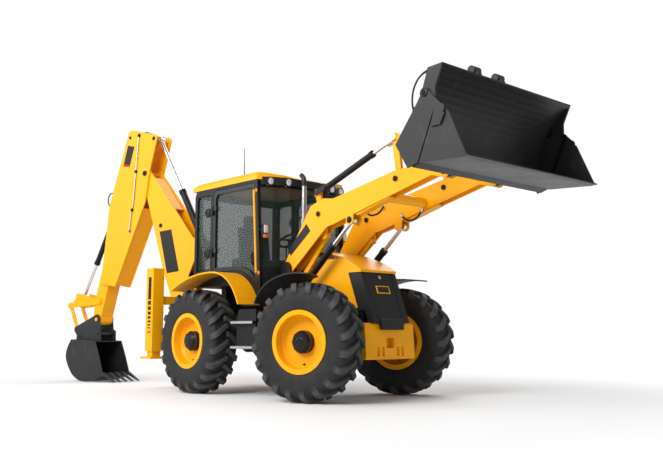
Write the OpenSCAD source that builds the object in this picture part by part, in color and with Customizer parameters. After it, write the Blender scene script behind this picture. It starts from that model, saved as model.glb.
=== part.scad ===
// Four-wheel-drive backhoe loader with equal wheels, a raised clam bucket in front
// and a folded, side-shifting backhoe with a sliding dipper behind.
// Millimetres, X forward, Y to the left, Z up. Points written [x, z] lie in a side view, counted from
// the rear axle and the ground; points of the backhoe are [u, z], counted rearwards from the slew axis.

/* [Wheels and axles] */
// Distance between the axles
wheelbase = 2220; // [2100:10:2400]
// Distance of each wheel's centre from the middle plane
wheel_y = 936; // [920:2:960]
// Tyre radius out to the lug tips
tyre_r = 715; // [690:5:730]
// Tyre width
tyre_w = 440; // [400:10:450]
// Radius of the rim's bead seat
rim_r = 345; // [320:5:360]
// Height of the tyre's lugs
lug_h = 44; // [30:1:50]
// Lugs on each side of a tyre
lugs = 20; // [16:1:24]
// Distance of a kingpin inboard of its wheel's centre
kingpin_in = 300; // [280:5:320]
// Kingpin radius
kingpin_r = 35; // [25:1:40]
// Radius of the wheel spindles
spindle_r = 55; // [40:1:70]
// Radius of the axle tubes
axle_r = 95; // [70:1:105]
// Steering angle of the right front wheel at rest
steer_right = 15.5; // [0:0.5:20]
// Steering angle of the left front wheel at rest
steer_left = 19.5; // [0:0.5:20]

/* [Frame and engine] */
// Distance of the rear axle behind the middle of the whole machine
rear_axle_back = 296; // [0:1:600]
// Distance of the frame rails' outer faces from the middle plane
rail_y = 350; // [340:2:352]
// Rail thickness
rail_t = 44; // [30:1:60]
// Height of the rails' lower edges above the ground
rail_z = 850; // [840:2:880]
// Rail depth
rail_h = 230; // [180:5:280]
// Half the width of the bonnet
bonnet_y = 318; // [300:1:320]
// Thickness of the bonnet's sheet
bonnet_t = 14; // [6:1:20]
// Opening half-width of the front counterweight
bumper_y = 432; // [400:1:440]

/* [Cab] */
// Half the width of the cab over its side walls
cab_y = 780; // [750:5:800]
// Thickness of the cab's walls and doors
cab_wall = 50; // [40:1:60]
// Height of the roof's top above the ground
roof_z = 3020; // [2980:5:3080]
// Foremost point of the curved windscreen
screen_x = 1295; // [1280:1:1300]
// Radius of the windscreen's curve seen from above
screen_r = 1800; // [1700:10:1900]
// Glass thickness
glass_t = 8; // [6:1:12]
// Gap around each door
door_gap = 7; // [5:1:10]
// Distance of the fenders' outer edges from the middle plane
fender_y = 1120; // [1090:5:1150]
// Thickness of the fender shells
fender_t = 18; // [10:1:25]

/* [Loader] */
// Distance of each arm's centre from the middle plane
arm_y = 436; // [430:1:440]
// Arm width over its two side plates
arm_w = 160; // [150:1:164]
// Thickness of the arms' side plates
arm_plate = 22; // [16:1:28]
// Arm pivot on the tower [x, z]
arm_pivot = [1420, 1660];
// Knee pin of the bellcrank [x, z]
knee_pin = [2035, 2330];
// Offset of the levelling link's pins below the arm's pins [x, z]
level_drop = [35, -275];
// Top pin of the bellcrank, which carries the tilt cylinder [x, z]
tilt_base = [1942, 2617];
// Pivot of the tipping lever on the arm [x, z]
lever_pivot = [3380, 2606];
// Top pin of the tipping lever [x, z]
lever_top = [3317, 3121];
// Hinge of the bucket on the arm [x, z]
bucket_pivot = [4100, 2600];
// Upper pin of the bucket, which takes the bucket link [x, z]
bucket_link_pin = [4000, 2990];
// Base pin of the lift cylinder on the tower [x, z]
lift_base = [1550, 1305];
// Lift cylinder's pin under the arm [x, z]
lift_top = [2600, 2200];
// Half the width of the loader bucket
bucket_y = 1220; // [1100:10:1300]
// Plate thickness of the loader bucket
bucket_t = 20; // [12:1:30]
// Hinge of the clam jaw [x, z]
clam_pivot = [4439, 3266];

/* [Backhoe] */
// Distance of the slew axis behind the rear axle
slew_back = 1360; // [1340:5:1420]
// Angle to the right that the backhoe rests at
slew_rest = 13; // [0:1:30]
// Boom foot pin [u, z]
boom_foot = [250, 1000];
// Pin between boom and dipper [u, z]
boom_head = [1170, 3505];
// Base pin of the boom cylinder on the kingpost [u, z]
boom_ram_base = [100, 1550];
// Boom cylinder's pin in the boom [u, z]
boom_ram_top = [791, 2590];
// Base pin of the dipper cylinder at the boom's knee [u, z]
dipper_ram_base = [-69, 2227];
// Dipper cylinder's pin in the dipper's tail [u, z]
dipper_ram_top = [984, 4085];
// Hinge of the quick hitch at the dipper's tip [u, z]
hitch_pivot = [2296, 1058];
// Rear pin of the quick hitch, which takes the tipping link [u, z]
hitch_link_pin = [2814, 886];
// Pivot of the tipping lever on the inner dipper [u, z]
tip_pivot = [2240, 1364];
// Pin between tipping lever and tipping link [u, z]
tip_link_pin = [3016, 1311];
// Bucket cylinder's pin on the tipping lever [u, z]
tip_ram_pin = [2813, 1468];
// Base pin of the bucket cylinder [u, z]
bucket_ram_base = [2024, 2967];
// Slope of the sliding dipper below the horizontal
dipper_slope = 73.5; // [70:0.5:77]
// Half the width of the boom
boom_y = 150; // [140:1:160]
// Half the width of the outer dipper
dipper_y = 175; // [165:1:185]
// Half the width of the inner dipper
inner_y = 130; // [115:1:140]
// Half the width of the digging bucket
hoe_bucket_y = 300; // [230:5:300]
// Side plate thickness of the boom and the dipper
hoe_plate = 20; // [14:1:24]
// Distance of the stabiliser boxes' outer faces from the middle plane
stabiliser_y = 1170; // [1150:5:1200]

/* [Fits] */
// Radial clearance of a part that turns on a pin
pin_gap = 0.3; // [0.2:0.1:1]
// Side clearance between links on one pin
side_gap = 1; // [0.5:0.1:2]
// Radius of the main hinge pins
pin_r = 30; // [22:1:36]
// Radius of the lesser hinge pins
small_pin_r = 22; // [16:1:26]

/* [Hidden] */
$fn = 48;
eps = 1;
PAINT = "#f2a900";
BLACK = "#2b2c2e";
STEEL = "#9aa0a4";
RUBBER = "#1c1c1d";
GLASS = "#5d756c";

function along(a, b, d) = a + (b - a) / norm(b - a) * d;
function heading(a, b) = atan2(b[1] - a[1], b[0] - a[0]);

// Sets the machine so that the middle of its box stands over the origin
module place() translate([-rear_axle_back, 0, 0]) children();
// Turns a child drawn along the backhoe's own plane to where the backhoe rests
module hoe() translate([-slew_back, 0, 0]) rotate(180 + slew_rest) children();
// Both sides of the machine
module both() {
    children();
    mirror([0, 1, 0]) children();
}
// Upright plate of a side-view outline, from y0 to y1
module slab(y0, y1) translate([0, y1, 0]) rotate([90, 0, 0]) linear_extrude(y1 - y0) children();
// Pin, boss or bore across the machine at a side-view point
module across(p, r, y0, y1) translate([p[0], y1, p[1]]) rotate([90, 0, 0]) cylinder(r = r, h = y1 - y0);
// Frame whose Z axis runs from one side-view point to another
module toward(a, b, y) translate([a[0], y, a[1]]) rotate([0, 90 - heading(a, b), 0]) children();
// Outline of a bar with round ends
module bar(a, b, r, w) {
    translate(a) circle(r);
    translate(b) circle(r);
    translate(a) rotate(heading(a, b)) translate([0, -w / 2]) square([norm(b - a), w]);
}
// Rectangle between two corners
module rect(a, b) translate(a) square(b - a);
// Box between two corners
module block(a, b) translate(a) cube(b - a);

// Cylinder barrel from its base pin, with an eye at the base and a gland at the mouth
module barrel(a, b, y, len, r, bore, eye_w, pin) {
    eye_r = r;
    gland_l = 60;
    gland_r = r + 6;
    floor_l = eye_r + 15;
    difference() {
        union() {
            across(a, eye_r, y - eye_w / 2, y + eye_w / 2);
            toward(a, b, y) translate([0, 0, eye_r * 0.6]) cylinder(r = r, h = len - eye_r * 0.6);
            toward(a, b, y) translate([0, 0, len - gland_l]) cylinder(r = gland_r, h = gland_l);
        }
        across(a, pin + pin_gap, y - eye_w, y + eye_w);
        toward(a, b, y) translate([0, 0, floor_l]) cylinder(r = bore + pin_gap, h = len);
    }
}
// Piston rod that ends in an eye at b; start is its inner end's distance from a
module rod(a, b, y, start, r, eye_r, eye_w, pin) {
    difference() {
        union() {
            toward(a, b, y) translate([0, 0, start]) cylinder(r = r, h = norm(b - a) - eye_r * 0.6 - start);
            across(b, eye_r, y - eye_w / 2, y + eye_w / 2);
        }
        across(b, pin + pin_gap, y - eye_w, y + eye_w);
    }
}

// Wheels, knuckles and axles
axle_z = tyre_r;
kingpin_y = wheel_y - kingpin_in;
boss_r = 75;
boss_h = 105;
knuckle_h = 60;
web_in = boss_r + 8;
web_t = 32;
bead_y = tyre_w / 2 - 35;
flange_r = rim_r + 40;
flange_t = 15;
hub_r = 135;
disc_y = 40;
disc_t = 18;
hub_out = 175;

// Frame on one kingpin: X forward and Y outboard on the left side, turned by the steering angle
module at_kingpin(x, side, steer) translate([x, side * kingpin_y, axle_z]) rotate(steer)
    mirror([0, side < 0 ? 1 : 0, 0]) children();
// Frame on one wheel: Z along the wheel's axis, outboard
module at_wheel(x, side, steer) at_kingpin(x, side, steer) translate([0, kingpin_in, 0]) rotate([-90, 0, 0])
    children();

// Tyre: a carcass with slanted lugs on each side of its middle
tread_r = tyre_r - lug_h;
lug_pitch = 360 / lugs;
lug_lean = 0.36 * lug_pitch;
lug_reach = tyre_r * lug_lean * PI / 180;
lug_end = tyre_w / 2 - 6;
lug_half = [36, 46];
lug_crown = sqrt(pow(tyre_r, 2) - pow(lug_reach + lug_half[1], 2));
module carcass() rotate_extrude($fn = 60) polygon([
    [rim_r + pin_gap, -bead_y], [flange_r, -bead_y], [rim_r + 130, -tyre_w / 2 + 4],
    [tread_r - 66, -tyre_w / 2], [tread_r - 24, -tyre_w / 2 + 22], [tread_r, -tyre_w / 2 + 60],
    [tread_r, tyre_w / 2 - 60], [tread_r - 24, tyre_w / 2 - 22], [tread_r - 66, tyre_w / 2],
    [rim_r + 130, tyre_w / 2 - 4], [flange_r, bead_y], [rim_r + pin_gap, bead_y]]);
module lug(side) facing(tread_r - 62, lug_crown) polygon([
    [-lug_reach - lug_half[0], side * -24], [-lug_reach + lug_half[0], side * -24],
    [lug_reach + lug_half[1], side * lug_end], [lug_reach - lug_half[1], side * lug_end]]);
module tyre() color(RUBBER) {
    carcass();
    for (k = [0 : lugs - 1]) for (side = [-1, 1]) rotate(-(k + side / 4) * lug_pitch - lug_lean) lug(side);
}

module rim() color(PAINT) difference() {
    rotate_extrude($fn = 72) polygon([
        [0, disc_y], [hub_r - 5, disc_y], [rim_r - 70, disc_y], [rim_r - 30, disc_y - 40],
        [rim_r - 30, -bead_y - flange_t], [flange_r - 6, -bead_y - flange_t],
            [flange_r - 6, -bead_y - pin_gap],
        [rim_r, -bead_y - pin_gap], [rim_r, bead_y + pin_gap], [flange_r - 6, bead_y + pin_gap],
        [flange_r - 6, bead_y + flange_t], [rim_r - 22, bead_y + flange_t], [rim_r - 34, disc_y + 60],
        [rim_r - 70, disc_y + disc_t], [hub_r, disc_y + disc_t], [hub_r, hub_out - 45],
            [hub_r - 12, hub_out - 38],
        [hub_r - 30, hub_out - 12], [hub_r - 42, hub_out], [0, hub_out]]);
    translate([0, 0, disc_y - eps]) cylinder(r = spindle_r + pin_gap, h = 90 + eps);
}

module knuckle() color(BLACK) {
    difference() {
        union() {
            for (s = [-1, 1]) {
                translate([0, 0, s * (boss_h + side_gap + knuckle_h / 2)]) {
                    cylinder(r = boss_r - 5, h = knuckle_h, center = true);
                    translate([-boss_r + 5, 0, -knuckle_h / 2])
                        cube([2 * boss_r - 10, web_in + web_t, knuckle_h]);
                }
            }
            translate([-boss_r + 5, web_in, -boss_h - side_gap - knuckle_h])
                cube([2 * boss_r - 10, web_t, 2 * (boss_h + side_gap + knuckle_h)]);
            translate([0, web_in + web_t - eps, 0]) rotate([-90, 0, 0])
                cylinder(r = spindle_r + 45, h = kingpin_in - web_in - web_t - 60);
            translate([0, web_in + web_t - eps, 0]) rotate([-90, 0, 0])
                cylinder(r = spindle_r, h = kingpin_in + disc_y + 80 - web_in - web_t);
        }
        translate([0, 0, -500]) cylinder(r = kingpin_r + pin_gap, h = 1000);
    }
}

module axle_beam() {
    pad_top = rail_z - axle_z;
    difference() {
        union() {
            rotate([90, 0, 0]) cylinder(r = axle_r, h = 2 * kingpin_y, center = true);
            rotate([90, 0, 0]) rotate_extrude() polygon([[0, -200], [axle_r, -200], [axle_r + 75, -90],
                [axle_r + 75, 90], [axle_r, 200], [0, 200]]);
            for (s = [-1, 1]) translate([0, s * kingpin_y, 0]) {
                cylinder(r = boss_r, h = 2 * boss_h, center = true);
                cylinder(r = kingpin_r, h = 2 * (boss_h + side_gap + knuckle_h) + 16, center = true);
            }
            for (s = [-1, 1]) translate([-110, s * (rail_y - rail_t / 2) - 60, 0]) cube([220, 120, pad_top]);
        }
        for (s = [-1, 1]) translate([0, s * 2 * kingpin_y, 0])
            cube([800, 2 * kingpin_y - 2 * boss_r, 800], center = true);
    }
}
module axles() color(BLACK) for (x = [0, wheelbase]) translate([x, 0, axle_z]) axle_beam();

// Frame rails, cross members and the loader towers on them
rail_rear = -880;
rail_front = wheelbase + 430;
tower_gap = 8;
tower_t = 22;
tower_in = arm_y - arm_w / 2 - tower_gap;
tower_out = arm_y + arm_w / 2 + tower_gap;
lift_y = arm_y + 26;
lift_r = 44;
link_y = arm_y - 42;
link_t = 24;
level_base = arm_pivot + level_drop;
tower_foot = 1150;
pin_out = 3;

module tower_outline() {
    translate(arm_pivot) circle(95);
    polygon([[arm_pivot[0] - 95, rail_z + rail_h - 60], [arm_pivot[0] + 270, rail_z + rail_h - 60],
        [lift_base[0] + 75, lift_base[1] + 40], [arm_pivot[0] + 93, arm_pivot[1] - 20],
        [arm_pivot[0] - 94, arm_pivot[1] + 10]]);
}
// The outer plate's lower front corner is cut away for the steered tyre
module outer_tower_outline() intersection() {
    tower_outline();
    polygon([[0, tower_foot], [arm_pivot[0] + 125, tower_foot], [lift_base[0] + 90, tower_foot + 110],
        [wheelbase, tower_foot + 400], [wheelbase, 2 * tower_foot], [0, 2 * tower_foot]]);
}
module main_frame() color(BLACK) {
    both() {
        block([rail_rear, rail_y - rail_t, rail_z], [rail_front, rail_y, rail_z + rail_h]);
        slab(tower_in - tower_t, tower_in) tower_outline();
        slab(tower_out, tower_out + tower_t) outer_tower_outline();
        block([arm_pivot[0] - 90, tower_in - tower_t, tower_foot - 60],
            [arm_pivot[0] + 125, tower_out + tower_t, tower_foot + eps]);
        across(arm_pivot, pin_r, tower_in - tower_t - pin_out, tower_out + tower_t);
        across(level_base, small_pin_r, tower_in - tower_t - pin_out, tower_out + tower_t);
        across(lift_base, pin_r, tower_in - tower_t - pin_out, tower_out + tower_t);
    }
    for (x = cross_x)
        block([x, -rail_y + rail_t - eps, rail_z + 30], [x + cross_t, rail_y - rail_t + eps,
            rail_z + rail_h - 30]);
    // Floor frame that carries the cab
    block([-300, -rail_y, rail_z + rail_h - eps], [-180, rail_y, cab_deck_z]);
    block([950, -rail_y, rail_z + rail_h - eps], [1070, rail_y, cab_floor_z]);
    bonnet_posts();
}
module engine_block() color(BLACK) block([cross_x[2] + cross_t, -240, rail_z + 40],
    [cross_x[3], 240, engine_top]);

// Front end: counterweight, grille and bonnet
bumper_front = rail_front + 148;
bumper_low = 502;
bumper_top = 944;
grille_top = [wheelbase + 366, 1567];
grille_low = [wheelbase + 603, bumper_top];
grille_y = 313;
grille_back = 215;
grille_foot = 110;
grille_sill = 1095;
grille_wall = 45;
grille_lip = 6;
tow_z = 700;
flute_y = [130, 215];
flute_w = 46;
flute_h = 110;
flute_deep = 30;
tow_r = 20;
bonnet_rear = 1500;
bonnet_low = 1130;
bonnet_hinge = [1470, 1880];
bonnet_gap = 0.3;
hinge_r = 14;
hinge_y = 110;

function bezier(a, b, c, n) = [for (i = [0 : n]) let (t = i / n)
    (1 - t) * (1 - t) * a + 2 * t * (1 - t) * b + t * t * c];

module counterweight() color(PAINT) difference() {
    slab(-bumper_y, bumper_y) polygon([[rail_front, bumper_low + 60], [rail_front + 40, bumper_low],
        [bumper_front - 20, bumper_low], [bumper_front, bumper_low + 30],
            [bumper_front - 26, bumper_top - 20],
        [bumper_front - 50, bumper_top], [rail_front, bumper_top]]);
    block([bumper_front - 95, -70, tow_z - 60], [bumper_front + eps, 70, tow_z + 60]);
    translate([bumper_front - 48, 0, bumper_low - eps]) cylinder(r = tow_r, h = tow_z + 140 - bumper_low);
    for (y = flute_y) for (side = [-1, 1])
        block([bumper_front - flute_deep, side * y - flute_w / 2, bumper_low + 40],
            [bumper_front + eps, side * y + flute_w / 2, bumper_low + 40 + flute_h]);
}
function grille_face(z) = grille_top[0]
    + (grille_top[1] - z) * (grille_low[0] - grille_top[0]) / (grille_top[1] - grille_low[1]);
module grille() color(BLACK) {
    difference() {
        slab(-grille_y, grille_y) polygon([grille_top, grille_low, grille_low - [grille_foot, 0],
            [grille_face(grille_sill) - grille_foot, grille_sill],
            [grille_face(grille_sill) - grille_back, grille_sill],
            grille_top - [grille_back, -grille_lip], grille_top - [20, -grille_lip]]);
        slab(grille_wall - grille_y, grille_y - grille_wall) polygon([
            [grille_face(grille_sill) - grille_wall, grille_sill],
            [grille_face(grille_sill) - grille_back - eps, grille_sill],
            grille_top - [grille_back + eps, -grille_lip - eps],
                grille_top - [grille_wall, -grille_lip - eps]]);
    }
    slab(-195, 195) polygon([[bumper_front, bumper_top + 60], [bumper_front, bumper_top - 84],
        [bumper_front + 41, bumper_top - 84], [bumper_front + 30, bumper_top + 40]]);
}
// The bonnet's side edges follow the back of the grille, and its top runs over the grille
function bonnet_front(z) = grille_face(z) - grille_back - bonnet_gap;
bonnet_eave = grille_top[1] + grille_lip + bonnet_gap;
module bonnet_outline(inset) polygon(concat(
    [[bonnet_rear + inset, bonnet_low - inset * 4]],
    bezier([bonnet_rear + inset, 1905 - inset], [wheelbase - 90, 1900 - inset],
        [grille_top[0] + 10 - inset, bonnet_eave + 30 - inset], 10),
    [[grille_top[0] + 10 - inset, bonnet_eave - inset / 10],
        [bonnet_front(bonnet_eave) + inset / 10, bonnet_eave - inset / 10],
        [bonnet_front(bonnet_low - inset * 4) + inset / 10, bonnet_low - inset * 4]]));
module bonnet() color(PAINT) {
    difference() {
        intersection() {
            slab(-bonnet_y, bonnet_y) bonnet_outline(0);
            facing(bonnet_rear, grille_low[0]) polygon([[-bonnet_y, 0], [bonnet_y, 0],
                [bonnet_y, 1720], [bonnet_y - 40, 1830], [bonnet_y - 120, 1910], [120 - bonnet_y, 1910],
                [40 - bonnet_y, 1830], [-bonnet_y, 1720]]);
        }
        slab(bonnet_t - bonnet_y, bonnet_y - bonnet_t) {
            bonnet_outline(bonnet_t);
            rect([bonnet_rear - eps, bonnet_low - eps], [bonnet_rear + 2 * bonnet_t, bonnet_hinge[1] - 40]);
        }
    }
    for (s = [-1, 1]) difference() {
        slab(s * hinge_y - 20, s * hinge_y + 20) bar(bonnet_hinge, bonnet_hinge + [50, 5], 24, 46);
        across(bonnet_hinge, hinge_r + pin_gap, s * hinge_y - 40, s * hinge_y + 40);
    }
}
// Cross beam between the towers, with the ears that carry the bonnet's hinge pins
beam_p = [1355, 1640];
module bonnet_posts() {
    slab(-tower_in + eps, tower_in - eps) rect(beam_p - [20, 40], beam_p + [20, 40]);
    for (s = [-1, 1]) {
        for (k = [-1, 1]) slab(s * hinge_y + k * 32 - 10, s * hinge_y + k * 32 + 10)
            bar(bonnet_hinge, beam_p, 24, 46);
        across(bonnet_hinge, hinge_r, s * hinge_y - 42, s * hinge_y + 42);
    }
}

// Cab
cab_rear = -390;
cab_deck_z = 1470;
cab_floor_z = 1180;
deck_t = 50;
step_x = 760;
pillar_top = 2880;
screen_mid = 2030;
screen_tilt = 3.4;
sill_z = 1700;
header_z = 2800;
cab_in = cab_y - cab_wall;
door_rear = 70;
door_top = 2840;
door_front_top = 1035;
door_front_low = 1128;
door_axis_out = 14;
hinge_heights = [1950, 2550];
hinge_h = 60;
door_hinge_r = 20;
door_pin_r = 9;

module tilted() translate([screen_x, 0, screen_mid]) rotate([0, -screen_tilt, 0])
    translate([-screen_x, 0, -screen_mid]) children();
module screen_band(z0, z1, t, y, back) tilted() intersection() {
    translate([screen_x - screen_r - back, 0, z0]) difference() {
        cylinder(r = screen_r, h = z1 - z0, $fn = 200);
        translate([0, 0, -eps]) cylinder(r = screen_r - t, h = z1 - z0 + 2 * eps, $fn = 200);
    }
    block([600, -y, z0 - eps], [1800, y, z1 + eps]);
}
module cab_plan() intersection() {
    translate([cab_rear, -cab_in]) square([screen_x - cab_rear, 2 * cab_in]);
    translate([screen_x - screen_r, 0]) circle(screen_r, $fn = 200);
}
// Door outline, drawn in by g on every edge; its lower edge clears the fender as the door swings
module door_outline(g) polygon([[door_rear + g, 1668 + g], [560, 1668 + g], [770 - g / 2, 1650 + 1.2 * g],
    [970 - g / 2, 1562 + 1.6 * g], [door_front_low - g, 1388 + 2.4 * g], [door_front_top - g, door_top - g],
    [door_rear + 40 + g, door_top - g], [door_rear + g, door_top - 60 - g]]);
module quarter_outline(g) polygon([[cab_rear + 60 + g, 1700 + g], [door_rear - 60 - g, 1700 + g],
    [door_rear - 60 - g, 2790 - g], [cab_rear + 100 + g, 2790 - g], [cab_rear + 60 + g, 2740 - g]]);
module rear_outline(g) polygon([[g - cab_in + 60, 1760 + g], [cab_in - 60 - g, 1760 + g],
    [cab_in - 60 - g, 2780 - g], [g - cab_in + 60, 2780 - g]]);
module facing(x0, x1) translate([x0, 0, 0]) rotate([90, 0, 90]) linear_extrude(x1 - x0) children();
module wall_outline() polygon([[cab_rear, cab_deck_z], [cab_rear, pillar_top - 80],
    [cab_rear + 40, pillar_top],
    [1090, pillar_top], [1191, cab_floor_z], [step_x, cab_floor_z], [step_x, cab_deck_z]]);

module cab_frame() color(BLACK) {
    both() difference() {
        slab(cab_in, cab_y) difference() {
            wall_outline();
            door_outline(0);
            quarter_outline(0);
        }
        for (z = hinge_heights) translate([door_rear + door_gap, cab_y + door_axis_out, z])
            cylinder(r = door_hinge_r + 6, h = hinge_h + 6);
    }
    facing(cab_rear, cab_rear + cab_wall) difference() {
        translate([-cab_in - eps, cab_deck_z]) square([2 * cab_in + 2 * eps, pillar_top - cab_deck_z]);
        rear_outline(0);
    }
    block([cab_rear + eps, -cab_in - eps, cab_deck_z], [step_x + 40, cab_in + eps, cab_deck_z + deck_t]);
    block([step_x, -cab_in - eps, cab_floor_z], [step_x + 40, cab_in + eps, cab_deck_z + eps]);
    translate([0, 0, cab_floor_z]) linear_extrude(deck_t) intersection() {
        cab_plan();
        translate([step_x, -cab_in - eps]) square([600, 2 * cab_in + 2 * eps]);
    }
    screen_band(cab_floor_z, sill_z, 40, cab_in + eps, 0);
    screen_band(header_z, pillar_top - 10, 60, cab_in + eps, 0);
    door_hinges(1);
    door_hinges(-1);
}
// Fixed half of a door's hinges: strap, knuckle and pin
module door_hinges(side) for (z = hinge_heights) translate([door_rear + door_gap,
    side * (cab_y + door_axis_out), z]) {
    translate([0, 0, -hinge_h]) cylinder(r = door_hinge_r, h = hinge_h);
    translate([0, 0, -eps]) cylinder(r = door_pin_r, h = hinge_h);
    translate([-80, side > 0 ? -door_axis_out - eps : 0, -hinge_h]) cube([80, door_axis_out + eps, hinge_h]);
}
door_in = cab_in + 3;
module door(side) {
    difference() {
        slab(side > 0 ? door_in : -cab_y, side > 0 ? cab_y : -door_in) difference() {
            door_outline(door_gap);
            door_outline(door_gap + 55);
        }
        for (z = hinge_heights) translate([door_rear + door_gap, side * (cab_y + door_axis_out),
            z - hinge_h - 5])
            cylinder(r = door_hinge_r + 6, h = hinge_h + 5 + side_gap);
    }
    slab(side * (cab_y - cab_wall / 2) - glass_t / 2, side * (cab_y - cab_wall / 2) + glass_t / 2)
        door_outline(door_gap + 54);
    for (z = hinge_heights) translate([door_rear + door_gap, side * (cab_y + door_axis_out),
        z + side_gap]) difference() {
        union() {
            cylinder(r = door_hinge_r, h = hinge_h);
            translate([0, side > 0 ? -door_axis_out - eps : 0, 0]) cube([90, door_axis_out + eps, hinge_h]);
        }
        translate([0, 0, -eps]) cylinder(r = door_pin_r + pin_gap, h = hinge_h + 2 * eps);
    }
}
module door_right() color(BLACK) door(-1);
module door_left() color(BLACK) door(1);

module cab_glass() color(GLASS) {
    screen_band(sill_z + pin_gap, header_z - pin_gap, glass_t, cab_in - pin_gap, 16);
    both() slab(cab_y - cab_wall / 2 - glass_t / 2, cab_y - cab_wall / 2 + glass_t / 2)
        quarter_outline(pin_gap);
    facing(cab_rear + 20, cab_rear + 20 + glass_t) rear_outline(pin_gap);
}

// Roof: a crowned panel with a front visor and work lamps under its edges
roof_front = 1330;
roof_rear = -430;
roof_y = cab_y + 15;
lamp_r = 52;
module cab_roof() color(PAINT) {
    intersection() {
        slab(-roof_y, roof_y) polygon(concat([[roof_rear, pillar_top]], bezier([roof_rear, pillar_top + 50],
            [roof_rear + 60, roof_z - 5], [350, roof_z], 6),
                bezier([420, roof_z], [roof_front - 120, roof_z],
            [roof_front, pillar_top + 22], 6), [[roof_front, pillar_top]]));
        facing(roof_rear - eps, roof_front + eps) polygon([[-roof_y, pillar_top - eps],
            [roof_y, pillar_top - eps],
            [roof_y, pillar_top + 60], [roof_y - 50, roof_z - 30], [roof_y - 180, roof_z + eps],
            [180 - roof_y, roof_z + eps], [50 - roof_y, roof_z - 30], [-roof_y, pillar_top + 60]]);
        translate([0, 0, pillar_top - eps]) linear_extrude(400) intersection() {
            translate([roof_front - 1500, 0]) circle(1500, $fn = 200);
            translate([roof_rear + 900, 0]) circle(1210, $fn = 120);
        }
    }
    for (s = [-1, 1]) {
        translate([1232, s * 400, pillar_top - 28]) rotate([0, 90, 0]) cylinder(r = lamp_r, h = 60);
        translate([1150, s * 645, pillar_top - 28]) rotate([0, 90, 0]) cylinder(r = lamp_r, h = 60);
    }
}

// Seat, steering column and side consoles
module operator_station() color(BLACK) {
    seat_x = 250;
    deck = cab_deck_z + deck_t;
    block([seat_x - 180, -200, deck], [seat_x + 200, 200, deck + 180]);
    block([seat_x - 250, -250, deck + 180 - eps], [seat_x + 260, 250, deck + 290]);
    slab(-240, 240) polygon([[seat_x - 255, deck + 260], [seat_x - 150, deck + 260],
        [seat_x - 230, deck + 850], [seat_x - 320, deck + 850]]);
    slab(-130, 130) polygon([[seat_x - 318, deck + 830], [seat_x - 228, deck + 830],
        [seat_x - 250, deck + 1020], [seat_x - 330, deck + 1020]]);
    for (s = [-1, 1]) block([seat_x - 200, s * 350 - 70, deck], [seat_x + 330, s * 350 + 70, deck + 370]);
    for (s = [-1, 1]) for (x = [100, 200]) translate([seat_x + x, s * 350, deck + 360]) {
        cylinder(r = 9, h = 210);
        translate([0, 0, 215]) sphere(r = 26);
    }
    slab(-60, 60) polygon([[1000, cab_floor_z + deck_t], [1130, cab_floor_z + deck_t], [930, 2110],
        [870, 2110]]);
    translate([900, 0, 2105]) rotate([0, -25, 0]) {
        rotate_extrude() translate([190, 20]) circle(17);
        cylinder(r = 45, h = 40);
        for (a = [30, 150, 270]) rotate(a) translate([0, -14, 10]) cube([190, 28, 18]);
    }
}

// Fenders, steps and exhaust
rear_fender_end = [-463, 1432];
rear_fender_top = [480, 1645];
rear_fender_low = [1157, 1194];
front_fender_low = [wheelbase - 764, 1186];
front_fender_top = [wheelbase + 40, 1550];
front_fender_end = [wheelbase + 371, 1514];
front_fender_bend = [wheelbase - 620, 1540];
// Where the slanted front edge starts and ends
front_fender_in = wheelbase - 160;
front_fender_out = wheelbase + 240;
fender_in = tower_out + tower_t;
module rear_fender_outline() polygon(concat(
    bezier(rear_fender_end, [-50, 1640], rear_fender_top, 8),
    bezier(rear_fender_top + [20, 0], [960, 1645], rear_fender_low, 10),
    [rear_fender_low - [fender_t, 4]],
    bezier(rear_fender_low - [fender_t + 6, -8], [945, 1645 - fender_t],
        rear_fender_top + [20, -fender_t], 10),
    bezier(rear_fender_top - [0, fender_t], [-45, 1640 - fender_t], rear_fender_end + [4, -fender_t], 8)));
module rear_fenders() color(PAINT) both() {
    slab(cab_y, fender_y) rear_fender_outline();
}
module front_fenders() color(BLACK) both() difference() {
    slab(fender_in, fender_y - 20) polygon(concat(
        bezier(front_fender_low, front_fender_bend, front_fender_top, 10), [front_fender_end],
        [front_fender_end - [0, fender_t]],
        bezier(front_fender_top - [0, fender_t], front_fender_bend + [12, -fender_t],
            front_fender_low + [fender_t, 0], 10)));
    translate([0, 0, front_fender_low[1]]) linear_extrude(2 * fender_y) polygon([
        [front_fender_in, fender_in - eps], [front_fender_end[0] + eps, fender_in - eps],
        [front_fender_end[0] + eps, fender_y], [front_fender_out, fender_y]]);
}

step_gap = 155;
step_rear = tyre_r + step_gap;
step_front = wheelbase - tyre_r - step_gap - 5;
step_t = 36;
step_out = 1030;
step_high = 940;
tank_rear = step_rear + 40;
tank_front = step_front - 20;
tank_slope = [0.12 * (tank_front - tank_rear), 120];
tank_out = 955;
tank_low = 640;
tank_top = 1130;
module side_steps() color(BLACK) both() {
    slab(rail_y, tank_out) polygon([[tank_rear, tank_low], [tank_front, tank_low], [tank_front, tank_top],
        [tank_rear + tank_slope[0], tank_top], [tank_rear, tank_top - tank_slope[1]]]);
    for (z = [tank_low - 22, step_high]) block([step_rear, tank_out - 60, z],
        [step_front, step_out, z + step_t]);
}

cross_t = 130;
cross_x = [rail_rear + 20, 560, 1250, rail_front - 170];
engine_top = 1480;
stack_x = 1412;
stack_y = -225;
stack_r = 36;
stack_top = 2880;
module exhaust() color(STEEL) {
    translate([stack_x, stack_y, engine_top]) cylinder(r = stack_r, h = stack_top - engine_top);
    translate([stack_x, stack_y, engine_top + 260]) cylinder(r = stack_r + 14, h = 620);
    translate([stack_x - 90, stack_y, stack_top - eps]) rotate([90, 0, 0])
        rotate_extrude(angle = 70) translate([90, 0]) circle(stack_r - 4);
}

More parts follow.
